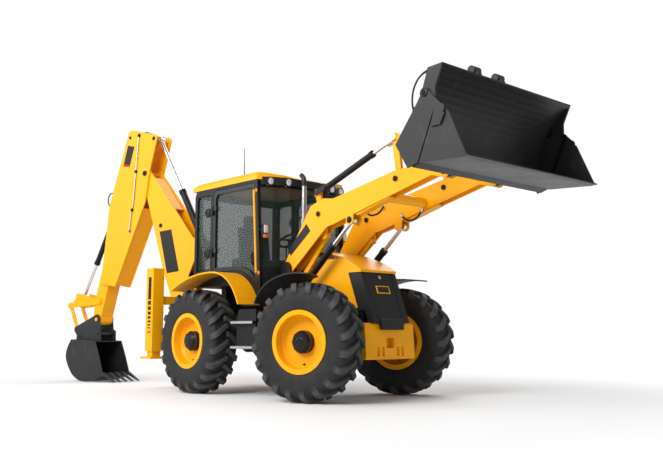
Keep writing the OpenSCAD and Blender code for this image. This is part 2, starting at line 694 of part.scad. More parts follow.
// Rear slide frame with the stabiliser boxes
slide_x0 = -1000;
slide_x1 = rail_rear;
beam_low = [620, 740];
beam_top = [1240, 1360];
box_x0 = -1045;
box_x1 = -855;
box_in = 990;
box_low = 560;
box_top = 1770;
box_t = 22;
leg_gap = 0.4;
module slide_frame() color(PAINT) {
    for (b = [beam_low, beam_top])
        block([slide_x0, -box_in - eps, b[0]], [slide_x1, box_in + eps, b[1]]);
    for (s = [-1, 1]) block([slide_x0 + 25, s * (rail_y - 75) - 75, beam_low[1] - eps],
        [slide_x1, s * (rail_y - 75) + 75, beam_top[0] + eps]);
    both() difference() {
        block([box_x0, box_in, box_low], [box_x1, stabiliser_y, box_top]);
        block([box_x0 + box_t, box_in + box_t, box_low - eps],
            [box_x1 - box_t, stabiliser_y - box_t, box_top - box_t]);
    }
}
leg_top = 1640;
foot_z = 450;
foot_t = 30;
module stabiliser_leg() {
    block([box_x0 + box_t + leg_gap, box_in + box_t + leg_gap, foot_z + foot_t - eps],
        [box_x1 - box_t - leg_gap, stabiliser_y - box_t - leg_gap, leg_top]);
    block([box_x0 - 90, box_in - 60, foot_z], [box_x1, stabiliser_y + 20, foot_z + foot_t]);
    block([box_x0 + 30, box_in + 30, foot_z + foot_t - eps], [box_x1 - 30, stabiliser_y - 30, foot_z + 90]);
}
module stabiliser_left() color(BLACK) stabiliser_leg();
module stabiliser_right() color(BLACK) mirror([0, 1, 0]) stabiliser_leg();

// Loader: each arm is two plates with the linkage between them
arm_in = arm_y - arm_w / 2;
arm_out = arm_y + arm_w / 2;
slot_in = arm_in + arm_plate;
slot_out = arm_out - arm_plate;
crank_t = 40;
crank_y = arm_y;
fork_t = 14;
bar_t = 13;
eye_r = 48;
lift_eye_w = 60;
lift_rod_r = 26;
tilt_r = 40;
tilt_rod_r = 22;
arm_tip_r = 75;
module arm_outline() difference() {
    union() {
        translate(arm_pivot) circle(90);
        polygon([arm_pivot + [-78, 40], arm_pivot + [62, -62], [2180, 2150], [2300, 2172], [3911, 2575],
            bucket_pivot + [0, -arm_tip_r + 4], bucket_pivot + [20, arm_tip_r - 4], [3800, 2688],
                [3600, 2718], [3347, 2700], [2310, 2497],
            [2120, 2520], [1879, 2446]]);
        translate(bucket_pivot) circle(arm_tip_r);
        bar(lift_top, lift_top + [10, 120], 62, 118);
    }
    translate(arm_pivot) circle(pin_r + pin_gap);
    translate(bucket_pivot) circle(pin_r + pin_gap);
}
// Web plates between an arm's side plates; the linkage passes between them
module arm_webs() slab(slot_in - eps, slot_out + eps) {
    polygon([[1560, 1905], [1582, 1886], [1800, 2190], [1778, 2208]]);
    polygon([[2700, 2269], [2705, 2247], [3260, 2398], [3255, 2420]]);
    polygon([[2400, 2512], [2404, 2490], [3080, 2625], [3076, 2647]]);
}
module loader_arms() color(PAINT) {
    both() {
        slab(arm_in, slot_in) arm_outline();
        slab(slot_out, arm_out) arm_outline();
        arm_webs();
        across(knee_pin, pin_r, arm_in - 10, arm_out + 10);
        across(lever_pivot, pin_r, arm_in - 10, arm_out + 10);
    }
    across([3050, 2450], 62, -arm_in - eps, arm_in + eps);
}
module level_links() color(PAINT) both() slab(link_y - link_t / 2, link_y + link_t / 2) difference() {
    bar(level_base, knee_pin + level_drop, 42, 64);
    translate(level_base) circle(small_pin_r + pin_gap);
    translate(knee_pin + level_drop) circle(small_pin_r + pin_gap);
}
crank_in = crank_y - crank_t / 2;
crank_out = crank_y + crank_t / 2;
bar_in = crank_in - side_gap - bar_t;
bar_out = crank_out + side_gap;
fork_in = bar_in - side_gap - fork_t;
fork_out = bar_out + bar_t + side_gap;
module bellcranks() color(PAINT) both() difference() {
    union() {
        slab(crank_in, crank_out) {
            bar(knee_pin + level_drop, knee_pin, 50, 84);
            bar(knee_pin, tilt_base, 50, 84);
        }
        across(knee_pin, 58, slot_in + side_gap, slot_out - side_gap);
        across(tilt_base, 50, bar_in, bar_out + bar_t);
        across(knee_pin + level_drop, small_pin_r, link_y - link_t / 2 - 3, crank_out);
    }
    across(knee_pin, pin_r + pin_gap, 0, 1000);
    across(tilt_base, small_pin_r + pin_gap, 0, 1000);
}
module lift_barrels() color(BLACK) both()
    barrel(lift_base, lift_top, lift_y, 940, lift_r, lift_rod_r, lift_eye_w, pin_r);
module lift_rods() color(STEEL) both() rod(lift_base, lift_top, lift_y, 410, lift_rod_r, eye_r,
    lift_eye_w, pin_r);

// Tilt pins carry the tilt cylinders' forks; lever pins carry the tipping levers
module tilt_pins() color(STEEL) both() across(tilt_base, small_pin_r, fork_in, fork_out + fork_t);
module lever_pins() color(STEEL) both() difference() {
    across(lever_pivot, pin_r + 12, crank_in - 22, crank_out + 22);
    across(lever_pivot, pin_r + pin_gap, 0, 1000);
}
fork_reach = 122;
module fork(p, q, r) {
    for (y = [fork_in, fork_out]) slab(y, y + fork_t) bar(p, along(p, q, fork_reach + 20), r, 2 * r - 4);
    toward(p, q, crank_y) translate([-r + 3, fork_in - crank_y, fork_reach])
        cube([2 * r - 6, fork_out + fork_t - fork_in, 40]);
}
tilt_len = norm(lever_top - tilt_base);
tilt_barrel_l = 1066;
module tilt_barrels() color(BLACK) both() difference() {
    union() {
        fork(tilt_base, lever_top, tilt_r - 4);
        toward(tilt_base, lever_top, crank_y) translate([0, 0, fork_reach])
            cylinder(r = tilt_r, h = tilt_barrel_l - fork_reach);
        toward(tilt_base, lever_top, crank_y) translate([0, 0, tilt_barrel_l - 50])
            cylinder(r = tilt_r + 6, h = 50);
    }
    across(tilt_base, small_pin_r + pin_gap, 0, 1000);
    toward(tilt_base, lever_top, crank_y) translate([0, 0, fork_reach + 50])
        cylinder(r = tilt_rod_r + pin_gap, h = tilt_barrel_l);
}
module tilt_rods() color(STEEL) both() {
        fork(lever_top, tilt_base, tilt_r - 6);
        toward(lever_top, tilt_base, crank_y) translate([0, 0, fork_reach])
            cylinder(r = tilt_rod_r, h = tilt_len - fork_reach - 390);
}
module tip_levers() color(PAINT) both() difference() {
    slab(crank_in, crank_out) {
        bar(lever_pivot, lever_top, 52, 88);
        translate(lever_pivot) circle(62);
    }
    across(lever_pivot, pin_r + 12 + pin_gap, 0, 1000);
    across(lever_top, small_pin_r + pin_gap, 0, 1000);
}
// Pins in the levers' tops, which carry the bucket links
module link_pins() color(STEEL) both() across(lever_top, small_pin_r, bar_in, bar_out + bar_t);
module bucket_links() color(PAINT) both() for (y = [bar_in, bar_out]) slab(y, y + bar_t) difference() {
    bar(lever_top, bucket_link_pin, 40, 62);
    translate(lever_top) circle(small_pin_r + pin_gap);
}

// Loader bucket: a curved back with end plates, and a clam jaw hinged at the top of the end plates
end_in = bucket_y - 45;
end_out = bucket_y - 22;
strap_in = end_out + side_gap;
shell_top = [4671, 3543];
shell_mid = [4185, 2870];
heel = [4200, 2560];
jaw_tip = [4975, 2540];
// Hose brackets on the top edge
bracket_y = [-540, -120];
bracket_eye = [4568, 3615];
module shell_outline() polygon(concat(
    bezier(shell_top, [4270, 3330], shell_mid, 10), [heel, [4232, 2523], [4328, 2556],
        [4326, 2556 + bucket_t]],
    [heel + [bucket_t + 4, 14]], bezier(shell_mid + [bucket_t, 0], [4292, 3314],
        shell_top - [-4, bucket_t], 10)));
module back_end_outline() polygon([shell_top, [4474, 3533], clam_pivot - [62, 8], [4010, 2796],
    [4176, 2523], [4318, 2560],
    [4568, 3136], clam_pivot + [130, 60]]);
module loader_bucket() color(BLACK) {
    slab(-end_in - eps, end_in + eps) shell_outline();
    both() {
        slab(end_in, end_out) back_end_outline();
        across(clam_pivot, small_pin_r, end_in, bucket_y);
        difference() {
            slab(crank_in, crank_out) {
                translate(bucket_pivot) circle(64);
                translate(bucket_link_pin) circle(46);
                polygon([bucket_pivot + [10, -60], heel + [18, -20], shell_mid + [10, 20],
                    shell_mid + [14, 110], bucket_link_pin + [10, 44], bucket_link_pin + [-42, -10],
                        bucket_pivot + [-60, 10]]);
            }
            across(bucket_pivot, pin_r + 12 + pin_gap, 0, 1000);
        }
    }
    for (y = bracket_y) {
        slab(y - 40, y + 40) polygon([[4500, 3440], [4610, 3505], [4640, 3560], [4610, 3640],
            [4530, 3650], [4490, 3560]]);
        across(bracket_eye, 48, y - 62, y + 62);
    }
}
module bucket_pins() color(STEEL) both() {
    across(bucket_pivot, pin_r, arm_in - 14, arm_out + 14);
    across(bucket_pivot, pin_r + 12, crank_in - 20, crank_out + 20);
}
module clam_jaw() color(BLACK) {
    slab(-end_out, end_out) polygon([[4340, 2554], [4900, 2526], [jaw_tip[0], jaw_tip[1] - 8],
        [jaw_tip[0], jaw_tip[1] + 5], [4900, 2552], [4345, 2580]]);
    both() {
        slab(end_in, end_out) polygon([[4342, 2570], [4586, 3140], [4731, 3032], [4853, 2756],
            [4950, 2540]]);
        slab(strap_in, bucket_y) difference() {
            union() {
                bar(clam_pivot, [4640, 3060], 58, 100);
                polygon([[4560, 3060], [4700, 3010], [4640, 2900], [4520, 2900]]);
            }
            translate(clam_pivot) circle(small_pin_r + pin_gap);
        }
        slab(end_out - eps, strap_in + eps) polygon([[4590, 3060], [4690, 3010], [4636, 2905],
            [4526, 2905]]);
    }
}

// Backhoe: carriage, kingpost and boom
slew_pin_r = 45;
lug_r = 120;
lug_y = 110;
carriage_y = 280;
plate_back = -1090;
lug_low = [640, 740];
lug_top = [1245, 1345];
foot_pin_r = 35;
module carriage() color(BLACK) difference() {
    union() {
        block([plate_back, -carriage_y, beam_low[0] - 32],
            [slide_x0 - leg_gap, carriage_y, beam_top[1] + 32]);
        for (z = [beam_low[0] - 32, beam_top[1] + leg_gap])
            block([plate_back, -carriage_y, z], [slide_x0 + 60, carriage_y, z + 32 - leg_gap]);
        for (z = [lug_low, lug_top]) {
            block([-slew_back, -lug_y, z[0]], [plate_back + eps, lug_y, z[1]]);
            translate([-slew_back, 0, z[0]]) cylinder(r = lug_r, h = z[1] - z[0]);
        }
    }
    translate([-slew_back, 0, 0]) cylinder(r = slew_pin_r + pin_gap, h = 3000);
}
inner_face = boom_y - hoe_plate;
cheek_in = 64;
module kingpost() color(PAINT) hoe() {
    translate([0, 0, lug_low[0] + 5]) cylinder(r = slew_pin_r, h = lug_top[1] - lug_low[0] - 10);
    translate([0, 0, lug_low[1] + side_gap]) cylinder(r = lug_r, h = lug_top[0] - lug_low[1] - 2 * side_gap);
    slab(side_gap - inner_face, inner_face - side_gap) bar([0, boom_foot[1]], boom_foot, 80, 150);
    pair(cheek_in, cheek_in + hoe_plate) {
        polygon([[lug_r - 20, boom_foot[1]], boom_foot + [60, 30], [275, 1300], boom_ram_base + [70, -25],
            boom_ram_base + [-70, -25], [lug_r + 15, lug_top[1] + 40],
                [lug_r + 15, lug_top[0] - 2 * side_gap],
            [lug_r - 20, lug_top[0] - 2 * side_gap]]);
        translate(boom_ram_base) circle(75);
    }
    across(boom_ram_base, pin_r, -cheek_in - hoe_plate - 8, cheek_in + hoe_plate + 8);
    across(boom_foot, foot_pin_r, -boom_y - 14, boom_y + 14);
}
boom_ram_r = 55;
boom_rod_r = 32;
ram_eye_w = 90;
module boom_outline() difference() {
    union() {
        translate(boom_foot) circle(95);
        translate(boom_head) circle(100);
        translate(dipper_ram_base) circle(66);
        polygon([boom_foot + [-90, 30], [139, 1749], dipper_ram_base + [-20, -60],
            dipper_ram_base + [-30, 58],
            [60, 2345], boom_head + [-85, 45], boom_head + [95, -20], [735, 1924], boom_foot + [90, -25]]);
    }
    translate(boom_foot) circle(foot_pin_r + pin_gap);
}
module boom() color(PAINT) hoe() {
    for (s = [-1, 1]) slab(s * (boom_y - hoe_plate / 2) - hoe_plate / 2, s * (boom_y - hoe_plate / 2)
        + hoe_plate / 2) boom_outline();
    slab(-inner_face - eps, inner_face + eps) {
        polygon([[480, 1340], [499, 1332], [735, 1890], [822, 2150], [802, 2156], [715, 1898]]);
        polygon([[1022, 2752], [1215, 3330], [1195, 3336], [1002, 2758]]);
        polygon([[530, 2860], [546, 2848], [1010, 3412], [995, 3426]]);
    }
    across(boom_head, 40, -dipper_y - 12, dipper_y + 12);
    across(dipper_ram_base, small_pin_r, -boom_y - 10, boom_y + 10);
}
module boom_ram_barrel() color(BLACK) hoe()
    barrel(boom_ram_base, boom_ram_top, 0, 1100, boom_ram_r, boom_rod_r, ram_eye_w, pin_r);
module boom_ram_rod() color(STEEL) hoe()
    rod(boom_ram_base, boom_ram_top, 0, 110, boom_rod_r, 55, ram_eye_w, pin_r);

// Outer and inner dipper
dipper_in = dipper_y - hoe_plate;
pad_gap = 0.4;
module outer_dipper_outline() difference() {
    union() {
        translate(boom_head) circle(105);
        translate(dipper_ram_top) circle(72);
        polygon([dipper_ram_top + [-68, -20], dipper_ram_top + [-20, 68], [1530, 4300], [1610, 4240],
            [2032, 3017],
            [2189, 1669], [1830, 1610], [1150, 3020], boom_head + [-100, 20]]);
    }
    translate(boom_head) circle(40 + pin_gap);
}
// Frame along the sliding dipper: X up from the hitch pivot, Y towards the machine
module on_slide() translate(hitch_pivot) rotate(180 - dipper_slope) children();
inner_len = 2200;
inner_back = 75;
inner_front = 165;
module outer_dipper() color(PAINT) hoe() {
    for (s = [-1, 1]) {
        slab(s * (dipper_y - hoe_plate / 2) - hoe_plate / 2, s * (dipper_y - hoe_plate / 2)
            + hoe_plate / 2) outer_dipper_outline();
        for (d = [720, 1500]) slab(s > 0 ? inner_y + pad_gap : -dipper_in - eps,
            s > 0 ? dipper_in + eps : -inner_y - pad_gap)
            on_slide() rect([d, -60], [d + 160, 60]);
    }
    slab(-dipper_in - eps, dipper_in + eps) {
        polygon([[1210, 2915], [1228, 2924], [1860, 1640], [1842, 1631]]);
        polygon([[1110, 4150], [1104, 4168], [1530, 4285], [1536, 4267]]);
    }
}
module dipper_ram_barrel() color(BLACK) hoe()
    barrel(dipper_ram_base, dipper_ram_top, 0, 1078, boom_ram_r, boom_rod_r, ram_eye_w, small_pin_r);
module dipper_ram_rod() color(STEEL) hoe()
    rod(dipper_ram_base, dipper_ram_top, 0, 990, boom_rod_r, 52, ram_eye_w, small_pin_r);
module inner_dipper() color(PAINT) hoe() {
    difference() {
        slab(-inner_y, inner_y) {
            on_slide() polygon([[-20, -90], [-20, 72], [250, inner_back], [inner_len, inner_back],
                [inner_len, -100],
                [1850, -inner_front], [400, -inner_front], [90, -130]]);
            translate(hitch_pivot) circle(92);
        }
        slab(12 - inner_y, inner_y - 12) on_slide() rect([450, 12 - inner_front],
            [inner_len + eps, inner_back - 12]);
    }
    for (s = [-1, 1]) slab(s * 62 - 12, s * 62 + 12) difference() {
        union() {
            on_slide() polygon([[1650, 11 - inner_front], [1845, 11 - inner_front], [1990, -265],
                [1960, -335], [1860, -335]]);
            translate(bucket_ram_base) circle(62);
        }
    }
    across(bucket_ram_base, small_pin_r, -84, 84);
    across(hitch_pivot, pin_r, -inner_y - 34, inner_y + 34);
    across(tip_pivot, pin_r, -inner_y - 34, inner_y + 34);
}

// Tipping gear, quick hitch and digging bucket
lever_in = inner_y + 3;
lever_t = 17;
link_in = lever_in - pin_gap - lever_t;
bucket_ram_r = 45;
bucket_rod_r = 26;
module pair(y0, y1) {
    slab(y0, y1) children();
    slab(-y1, -y0) children();
}
module bucket_ram_barrel() color(BLACK) hoe()
    barrel(bucket_ram_base, tip_ram_pin, 0, 1060, bucket_ram_r, bucket_rod_r, ram_eye_w, small_pin_r);
module bucket_ram_rod() color(STEEL) hoe()
    rod(bucket_ram_base, tip_ram_pin, 0, 690, bucket_rod_r, 46, ram_eye_w, small_pin_r);
module hoe_lever() color(PAINT) hoe() {
    pair(lever_in, lever_in + lever_t) difference() {
        union() {
            bar(tip_pivot, tip_link_pin, 52, 84);
            translate(tip_ram_pin) circle(52);
            polygon([tip_pivot + [20, 45], tip_ram_pin + [-10, 50], tip_ram_pin + [45, -20],
                tip_link_pin + [0, -40], tip_pivot + [0, -40]]);
        }
        translate(tip_pivot) circle(pin_r + pin_gap);
    }
    across([2620, 1372], 26, -lever_in - eps, lever_in + eps);
    across(tip_link_pin, small_pin_r, -lever_in - eps, lever_in + eps);
}
module hoe_link() color(PAINT) hoe() pair(link_in, link_in + lever_t) difference() {
    bar(tip_link_pin, hitch_link_pin, 46, 74);
    translate(tip_link_pin) circle(small_pin_r + pin_gap);
}
// Hitch plates that grip the digging bucket
module quick_hitch() {
    pair(lever_in, lever_in + lever_t) difference() {
        union() {
            translate(hitch_pivot) circle(88);
            translate(hitch_link_pin) circle(60);
            polygon([hitch_pivot + [-70, 50], hitch_pivot + [60, 66], hitch_link_pin + [0, 58],
                hitch_link_pin + [58, -10],
                [2770, 740], [2180, 800], hitch_pivot + [-84, -30]]);
        }
        translate(hitch_pivot) circle(pin_r + pin_gap);
    }
    across([2500, 800], 30, -lever_in - eps, lever_in + eps);
    for (p = [[2230, 810], [2700, 770]]) across(p, 24, -ear_in - ear_t - 12, ear_in + ear_t + 12);
}
hoe_bucket_t = 18;
ear_in = lever_in + lever_t + side_gap;
ear_t = 22;
tooth_w = 56;
module digging_bucket() color(BLACK) hoe() {
    back = [2860, 330];
    low = [2383, 4];
    lip = [1915, 128];
    t = hoe_bucket_t;
    slab(-hoe_bucket_y, hoe_bucket_y) polygon(concat(
        [[2160, 690]], [[2760, 715]], bezier([2775, 700], [2950, 470], back, 6),
            bezier(back - [6, 12], [2700, 4], low, 8),
        bezier(low - [10, 0], [2150, 4], lip, 6), [lip + [8, t]],
        bezier(lip + [14, t - 3], [2155, 4 + t], low + [0, t], 6),
            bezier(low + [10, t], [2690, 4 + t], back - [t + 4, 8], 8),
        bezier(back - [t, -4], [2926, 470], [2762, 690], 6), [[2740, 714 - t - 10]], [[2160, 690 - t]]));
    pair(hoe_bucket_y - t, hoe_bucket_y) polygon(concat([[2150, 688]], [[2760, 712]], [[2872, 470]],
        [back - [4, 0]],
        bezier(back - [8, 14], [2700, 8], low + [0, 4], 8),
            bezier(low - [10, -4], [2155, 10], lip + [6, 8], 6), [[2030, 420]]));
    pair(ear_in, ear_in + ear_t) polygon([[2150, 680], [2160, 860], [2230, 890], [2690, 820], [2770, 800],
        [2790, 690]]);
    quick_hitch();
    for (i = [-2 : 2]) slab(i * 136 - tooth_w / 2, i * 136 + tooth_w / 2)
        polygon([lip + [70, 6], lip + [62, 38], lip + [0, 34], [1656, 13], lip + [10, -14]]);
}

place() main_frame();
place() axles();
place() engine_block();
place() counterweight();
place() grille();
place() bonnet();
place() cab_frame();
place() cab_roof();
place() cab_glass();
place() door_right();
place() door_left();
place() operator_station();
place() rear_fenders();
place() front_fenders();
place() side_steps();
place() exhaust();
place() slide_frame();
place() at_kingpin(wheelbase, -1, steer_right) knuckle();  // knuckle_front_right
place() at_kingpin(wheelbase, 1, steer_left) knuckle();  // knuckle_front_left
place() at_kingpin(0, -1, 0) knuckle();  // knuckle_rear_right
place() at_kingpin(0, 1, 0) knuckle();  // knuckle_rear_left
place() at_wheel(wheelbase, -1, steer_right) tyre();  // tyre_front_right
place() at_wheel(wheelbase, 1, steer_left) tyre();  // tyre_front_left
place() at_wheel(0, -1, 0) tyre();  // tyre_rear_right
place() at_wheel(0, 1, 0) tyre();  // tyre_rear_left
place() at_wheel(wheelbase, -1, steer_right) rim();  // rim_front_right
place() at_wheel(wheelbase, 1, steer_left) rim();  // rim_front_left
place() at_wheel(0, -1, 0) rim();  // rim_rear_right
place() at_wheel(0, 1, 0) rim();  // rim_rear_left
place() loader_arms();
place() level_links();
place() bellcranks();
place() lift_barrels();
place() lift_rods();
place() lever_pins();
place() tip_levers();
place() tilt_pins();
place() tilt_barrels();
place() tilt_rods();
place() link_pins();
place() bucket_links();
place() bucket_pins();
place() loader_bucket();
place() clam_jaw();
place() stabiliser_right();
place() stabiliser_left();
place() carriage();
place() kingpost();
place() boom();
place() boom_ram_barrel();
place() boom_ram_rod();
place() outer_dipper();
place() dipper_ram_barrel();
place() dipper_ram_rod();
place() inner_dipper();
place() bucket_ram_barrel();
place() bucket_ram_rod();
place() hoe_lever();
place() hoe_link();
place() digging_bucket();
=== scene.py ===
"""Backhoe loader: finishes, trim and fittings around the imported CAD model, in its own frame."""

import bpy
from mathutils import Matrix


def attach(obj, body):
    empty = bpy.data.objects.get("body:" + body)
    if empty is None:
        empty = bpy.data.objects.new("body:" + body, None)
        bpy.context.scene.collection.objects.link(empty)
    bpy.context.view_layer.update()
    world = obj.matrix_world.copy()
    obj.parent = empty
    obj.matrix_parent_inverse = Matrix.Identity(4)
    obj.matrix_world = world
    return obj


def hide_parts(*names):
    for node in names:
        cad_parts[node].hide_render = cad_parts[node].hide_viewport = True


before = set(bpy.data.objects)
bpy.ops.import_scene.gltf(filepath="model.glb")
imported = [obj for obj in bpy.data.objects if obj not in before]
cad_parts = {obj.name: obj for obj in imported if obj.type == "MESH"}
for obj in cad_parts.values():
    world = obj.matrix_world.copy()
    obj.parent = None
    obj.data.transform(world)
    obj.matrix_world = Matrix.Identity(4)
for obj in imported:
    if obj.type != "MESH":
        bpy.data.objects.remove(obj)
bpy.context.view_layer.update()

import logging
import math
from dataclasses import dataclass, field
from enum import Enum
from typing import Any, Callable, Sequence, Union

import bmesh
import bpy
import numpy as np
from mathutils import Euler, Matrix

LOG = logging.getLogger("backhoe_loader")
REAR_AXLE_BACK = 0.296
LUG_WEAR = "lug_wear"
GLASS_ALPHA = 0.44
COAT_ROUGH = 0.12
# How far a cap or panel sinks into the face that carries it, and how thick a marking panel is
SEATED = 0.001
PANEL_THICK = 0.003
CAP_SMOOTH = 30.0
HOSE_SMOOTH = 60.0
UP = (0.0, 0.0, 1.0)
Array = np.ndarray
Number = Union[float, "Sock"]
Pair = tuple[float, float]
Spots = tuple[Pair, ...]
Knots = Sequence[Sequence[float]]
Sockets = dict[str, Any]


def at(x: float, y: float, z: float) -> Array:
    """Gives a frame point from a place measured forward from the rear axle."""
    return np.array([x - REAR_AXLE_BACK, y, z])


class Side(Enum):
    """Side of the machine, with the sign of its Y axis."""

    RIGHT = -1
    LEFT = 1

    @property
    def tag(self) -> str:
        """Lower-case name used in node and piece names."""
        return self.name.lower()

    @property
    def out(self) -> Array:
        """Direction away from the machine's middle."""
        return np.array([0.0, self.value, 0.0])

    def at(self, x: float, y: float, z: float) -> Array:
        """Frame point whose Y is measured outwards on this side."""
        return at(x, self.value * y, z)

    def line(self, y: float, spots: Spots) -> Array:
        """Frame points from (x, z) pairs at one Y, measured outwards."""
        return np.stack([self.at(x, y, z) for x, z in spots])

    def path(self, knots: Knots, steps: int) -> Array:
        """Smooth curve through knots whose Y is measured outwards."""
        return smooth_path([self.at(*knot) for knot in knots], steps)


class Tone(Enum):
    """Linear base colours of the machine's finishes and of the floor."""

    YELLOW = (0.90, 0.385, 0.0012)
    BLACK = (0.008, 0.008, 0.0085)
    DARK_STEEL = (0.017, 0.0175, 0.019)
    RUBBED_STEEL = (0.13, 0.13, 0.135)
    RUBBER = (0.013, 0.0135, 0.015)
    WORN_RUBBER = (0.085, 0.088, 0.095)
    PLASTIC = (0.012, 0.012, 0.0125)
    VINYL = (0.018, 0.018, 0.02)
    PALE_VINYL = (0.035, 0.035, 0.038)
    CHROME = (0.72, 0.73, 0.75)
    GLASS = (0.022, 0.040, 0.034)
    LENS = (0.72, 0.75, 0.78)
    AMBER = (0.85, 0.16, 0.01)
    RED = (0.45, 0.008, 0.006)
    ALLOY = (0.52, 0.53, 0.54)
    BLUE = (0.02, 0.10, 0.35)
    DUST = (0.20, 0.17, 0.13)
    PAPER = (0.86, 0.86, 0.86)

    def rgba(self, factor: float = 1.0) -> tuple[float, ...]:
        """Colour scaled by a factor, with full alpha."""
        return tuple(min(c * factor, 1.0) for c in self.value) + (1.0,)


def operator(operation: str, turned: bool = False) -> Callable[["Sock", Number], "Sock"]:
    """Makes one of a socket's operators.

    Args:
        operation: Math node operation.
        turned: the socket is the second operand.

    Returns:
        A method that adds one Math node and gives its value.
    """

    def act(self: "Sock", other: Number = 0.0) -> "Sock":
        """Adds the Math node."""
        first, second = (other, self) if turned else (self, other)
        return self.graph.node("ShaderNodeMath", {"operation": operation}, {0: first, 1: second})

    return act


class Sock:
    """A shader socket whose operators add Math nodes to its graph."""

    __add__ = __radd__ = operator("ADD")
    __mul__ = __rmul__ = operator("MULTIPLY")
    __sub__, __rsub__ = operator("SUBTRACT"), operator("SUBTRACT", True)
    __truediv__, __rtruediv__ = operator("DIVIDE"), operator("DIVIDE", True)
    __mod__, __rmod__ = operator("FLOORED_MODULO"), operator("FLOORED_MODULO", True)
    __abs__ = operator("ABSOLUTE")
    most = operator("MAXIMUM")
    root = operator("SQRT")

    def __init__(self, graph: "Graph", socket: Any) -> None:
        """Keeps the graph and the output socket."""
        self.graph = graph
        self.socket = socket

    def above(self, edge: Number, soft: float = 0.002) -> "Sock":
        """Mask that rises from 0 to 1 across an edge."""
        return self.graph.node("ShaderNodeMath", {"operation": "MULTIPLY_ADD", "use_clamp": True},
                               {0: self - edge, 1: 1.0 / soft, 2: 0.5})

    def below(self, edge: Number, soft: float = 0.002) -> "Sock":
        """Mask that falls from 1 to 0 across an edge."""
        return 1.0 - self.above(edge, soft)


class Graph:
    """Node tree of one material or world."""

    def __init__(self, owner: Any) -> None:
        """Empties the owner's node tree.

        Args:
            owner: material or world.
        """
        owner.use_nodes = True
        self.owner = owner
        self.tree = owner.node_tree
        self.tree.nodes.clear()

    def feed(self, target: Any, value: Any) -> None:
        """Links or sets one input socket.

        Args:
            target: input socket.
            value: a Sock to link, or a value to set.
        """
        if isinstance(value, Sock):
            self.tree.links.new(value.socket, target)
        else:
            target.default_value = value

    def node(self, kind: str, settings: Sockets, inputs: dict[Any, Any], output: Any = 0) -> Sock:
        """Adds any node: its settings first, then its sockets.

        Args:
            kind: Blender's node type.
            settings: attributes to set; "stops" fills a colour ramp.
            inputs: socket name or index to value or Sock.
            output: name or index of the output wanted.

        Returns:
            The chosen output.
        """
        node = self.tree.nodes.new(kind)
        for key, value in settings.items():
            if key == "stops":
                ramp = node.color_ramp
                while len(ramp.elements) < len(value):
                    ramp.elements.new(1.0)
                for element, (position, colour) in zip(ramp.elements, value):
                    element.position = position
                    element.color = colour
            else:
                setattr(node, key, value)
        for key, value in inputs.items():
            self.feed(node.inputs[key], value)
        return Sock(self, node.outputs[output])

    def principled(self, **sockets: Any) -> Sock:
        """Adds a Principled shader; underscores in its sockets' names stand for spaces."""
        return self.node("ShaderNodeBsdfPrincipled", {},
                         {key.replace("_", " "): value for key, value in sockets.items()})

    def end(self, kind: str, shader: Sock) -> None:
        """Adds the output node and links a shader to it."""
        self.feed(self.tree.nodes.new(kind).inputs["Surface"], shader)

    def object_point(self) -> Sock:
        """Object coordinates, which are the frame's own metres."""
        return self.node("ShaderNodeTexCoord", {}, {}, "Object")

    def axes(self) -> tuple[Sock, Sock, Sock]:
        """Object X, Y and Z as values.

        Returns:
            The three values.
        """
        split = self.tree.nodes.new("ShaderNodeSeparateXYZ")
        self.feed(split.inputs[0], self.object_point())
        return tuple(Sock(self, out) for out in split.outputs)

    def noise(self, scale: float, detail: float = 4.0, rough: float = 0.55,
              stretch: Sequence[float] = (1, 1, 1)) -> Sock:
        """Noise on Object coordinates.

        Args:
            scale: noise scale.
            detail: octaves.
            rough: how strong the fine octaves are.
            stretch: scale along each axis.

        Returns:
            The noise value.
        """
        point = self.node("ShaderNodeMapping", {}, {"Vector": self.object_point(),
                                                    "Scale": tuple(stretch)})
        return self.node("ShaderNodeTexNoise", {}, {"Vector": point, "Scale": scale,
                                                    "Detail": detail, "Roughness": rough}, "Fac")

    def mix(self, mask: Number, low: Any, high: Any) -> Sock:
        """Mixes two colours by a mask."""
        return self.node("ShaderNodeMix", {"data_type": "RGBA"}, {0: mask, 6: low, 7: high}, 2)

    def vary(self, mask: Sock, tone: Tone, low: float, high: float) -> Sock:
        """One tone, scaled from a low to a high factor by a mask."""
        return self.mix(mask, tone.rgba(low), tone.rgba(high))

    def bump(self, height: Sock, strength: float, distance: float) -> Sock:
        """Turns a height into a normal."""
        return self.node("ShaderNodeBump", {}, {"Height": height, "Strength": strength,
                                                "Distance": distance})


@dataclass(frozen=True)
class Finish:
    """A named finish; each kind says what feeds its Principled shader."""

    name: str

    def sockets(self, graph: Graph) -> Sockets:
        """Shader inputs by name, with underscores for spaces."""
        raise NotImplementedError

    def make(self) -> bpy.types.Material:
        """Makes the material.

        Returns:
            The new material.
        """
        graph = Graph(bpy.data.materials.new(self.name))
        graph.end("ShaderNodeOutputMaterial", graph.principled(**self.sockets(graph)))
        return graph.owner


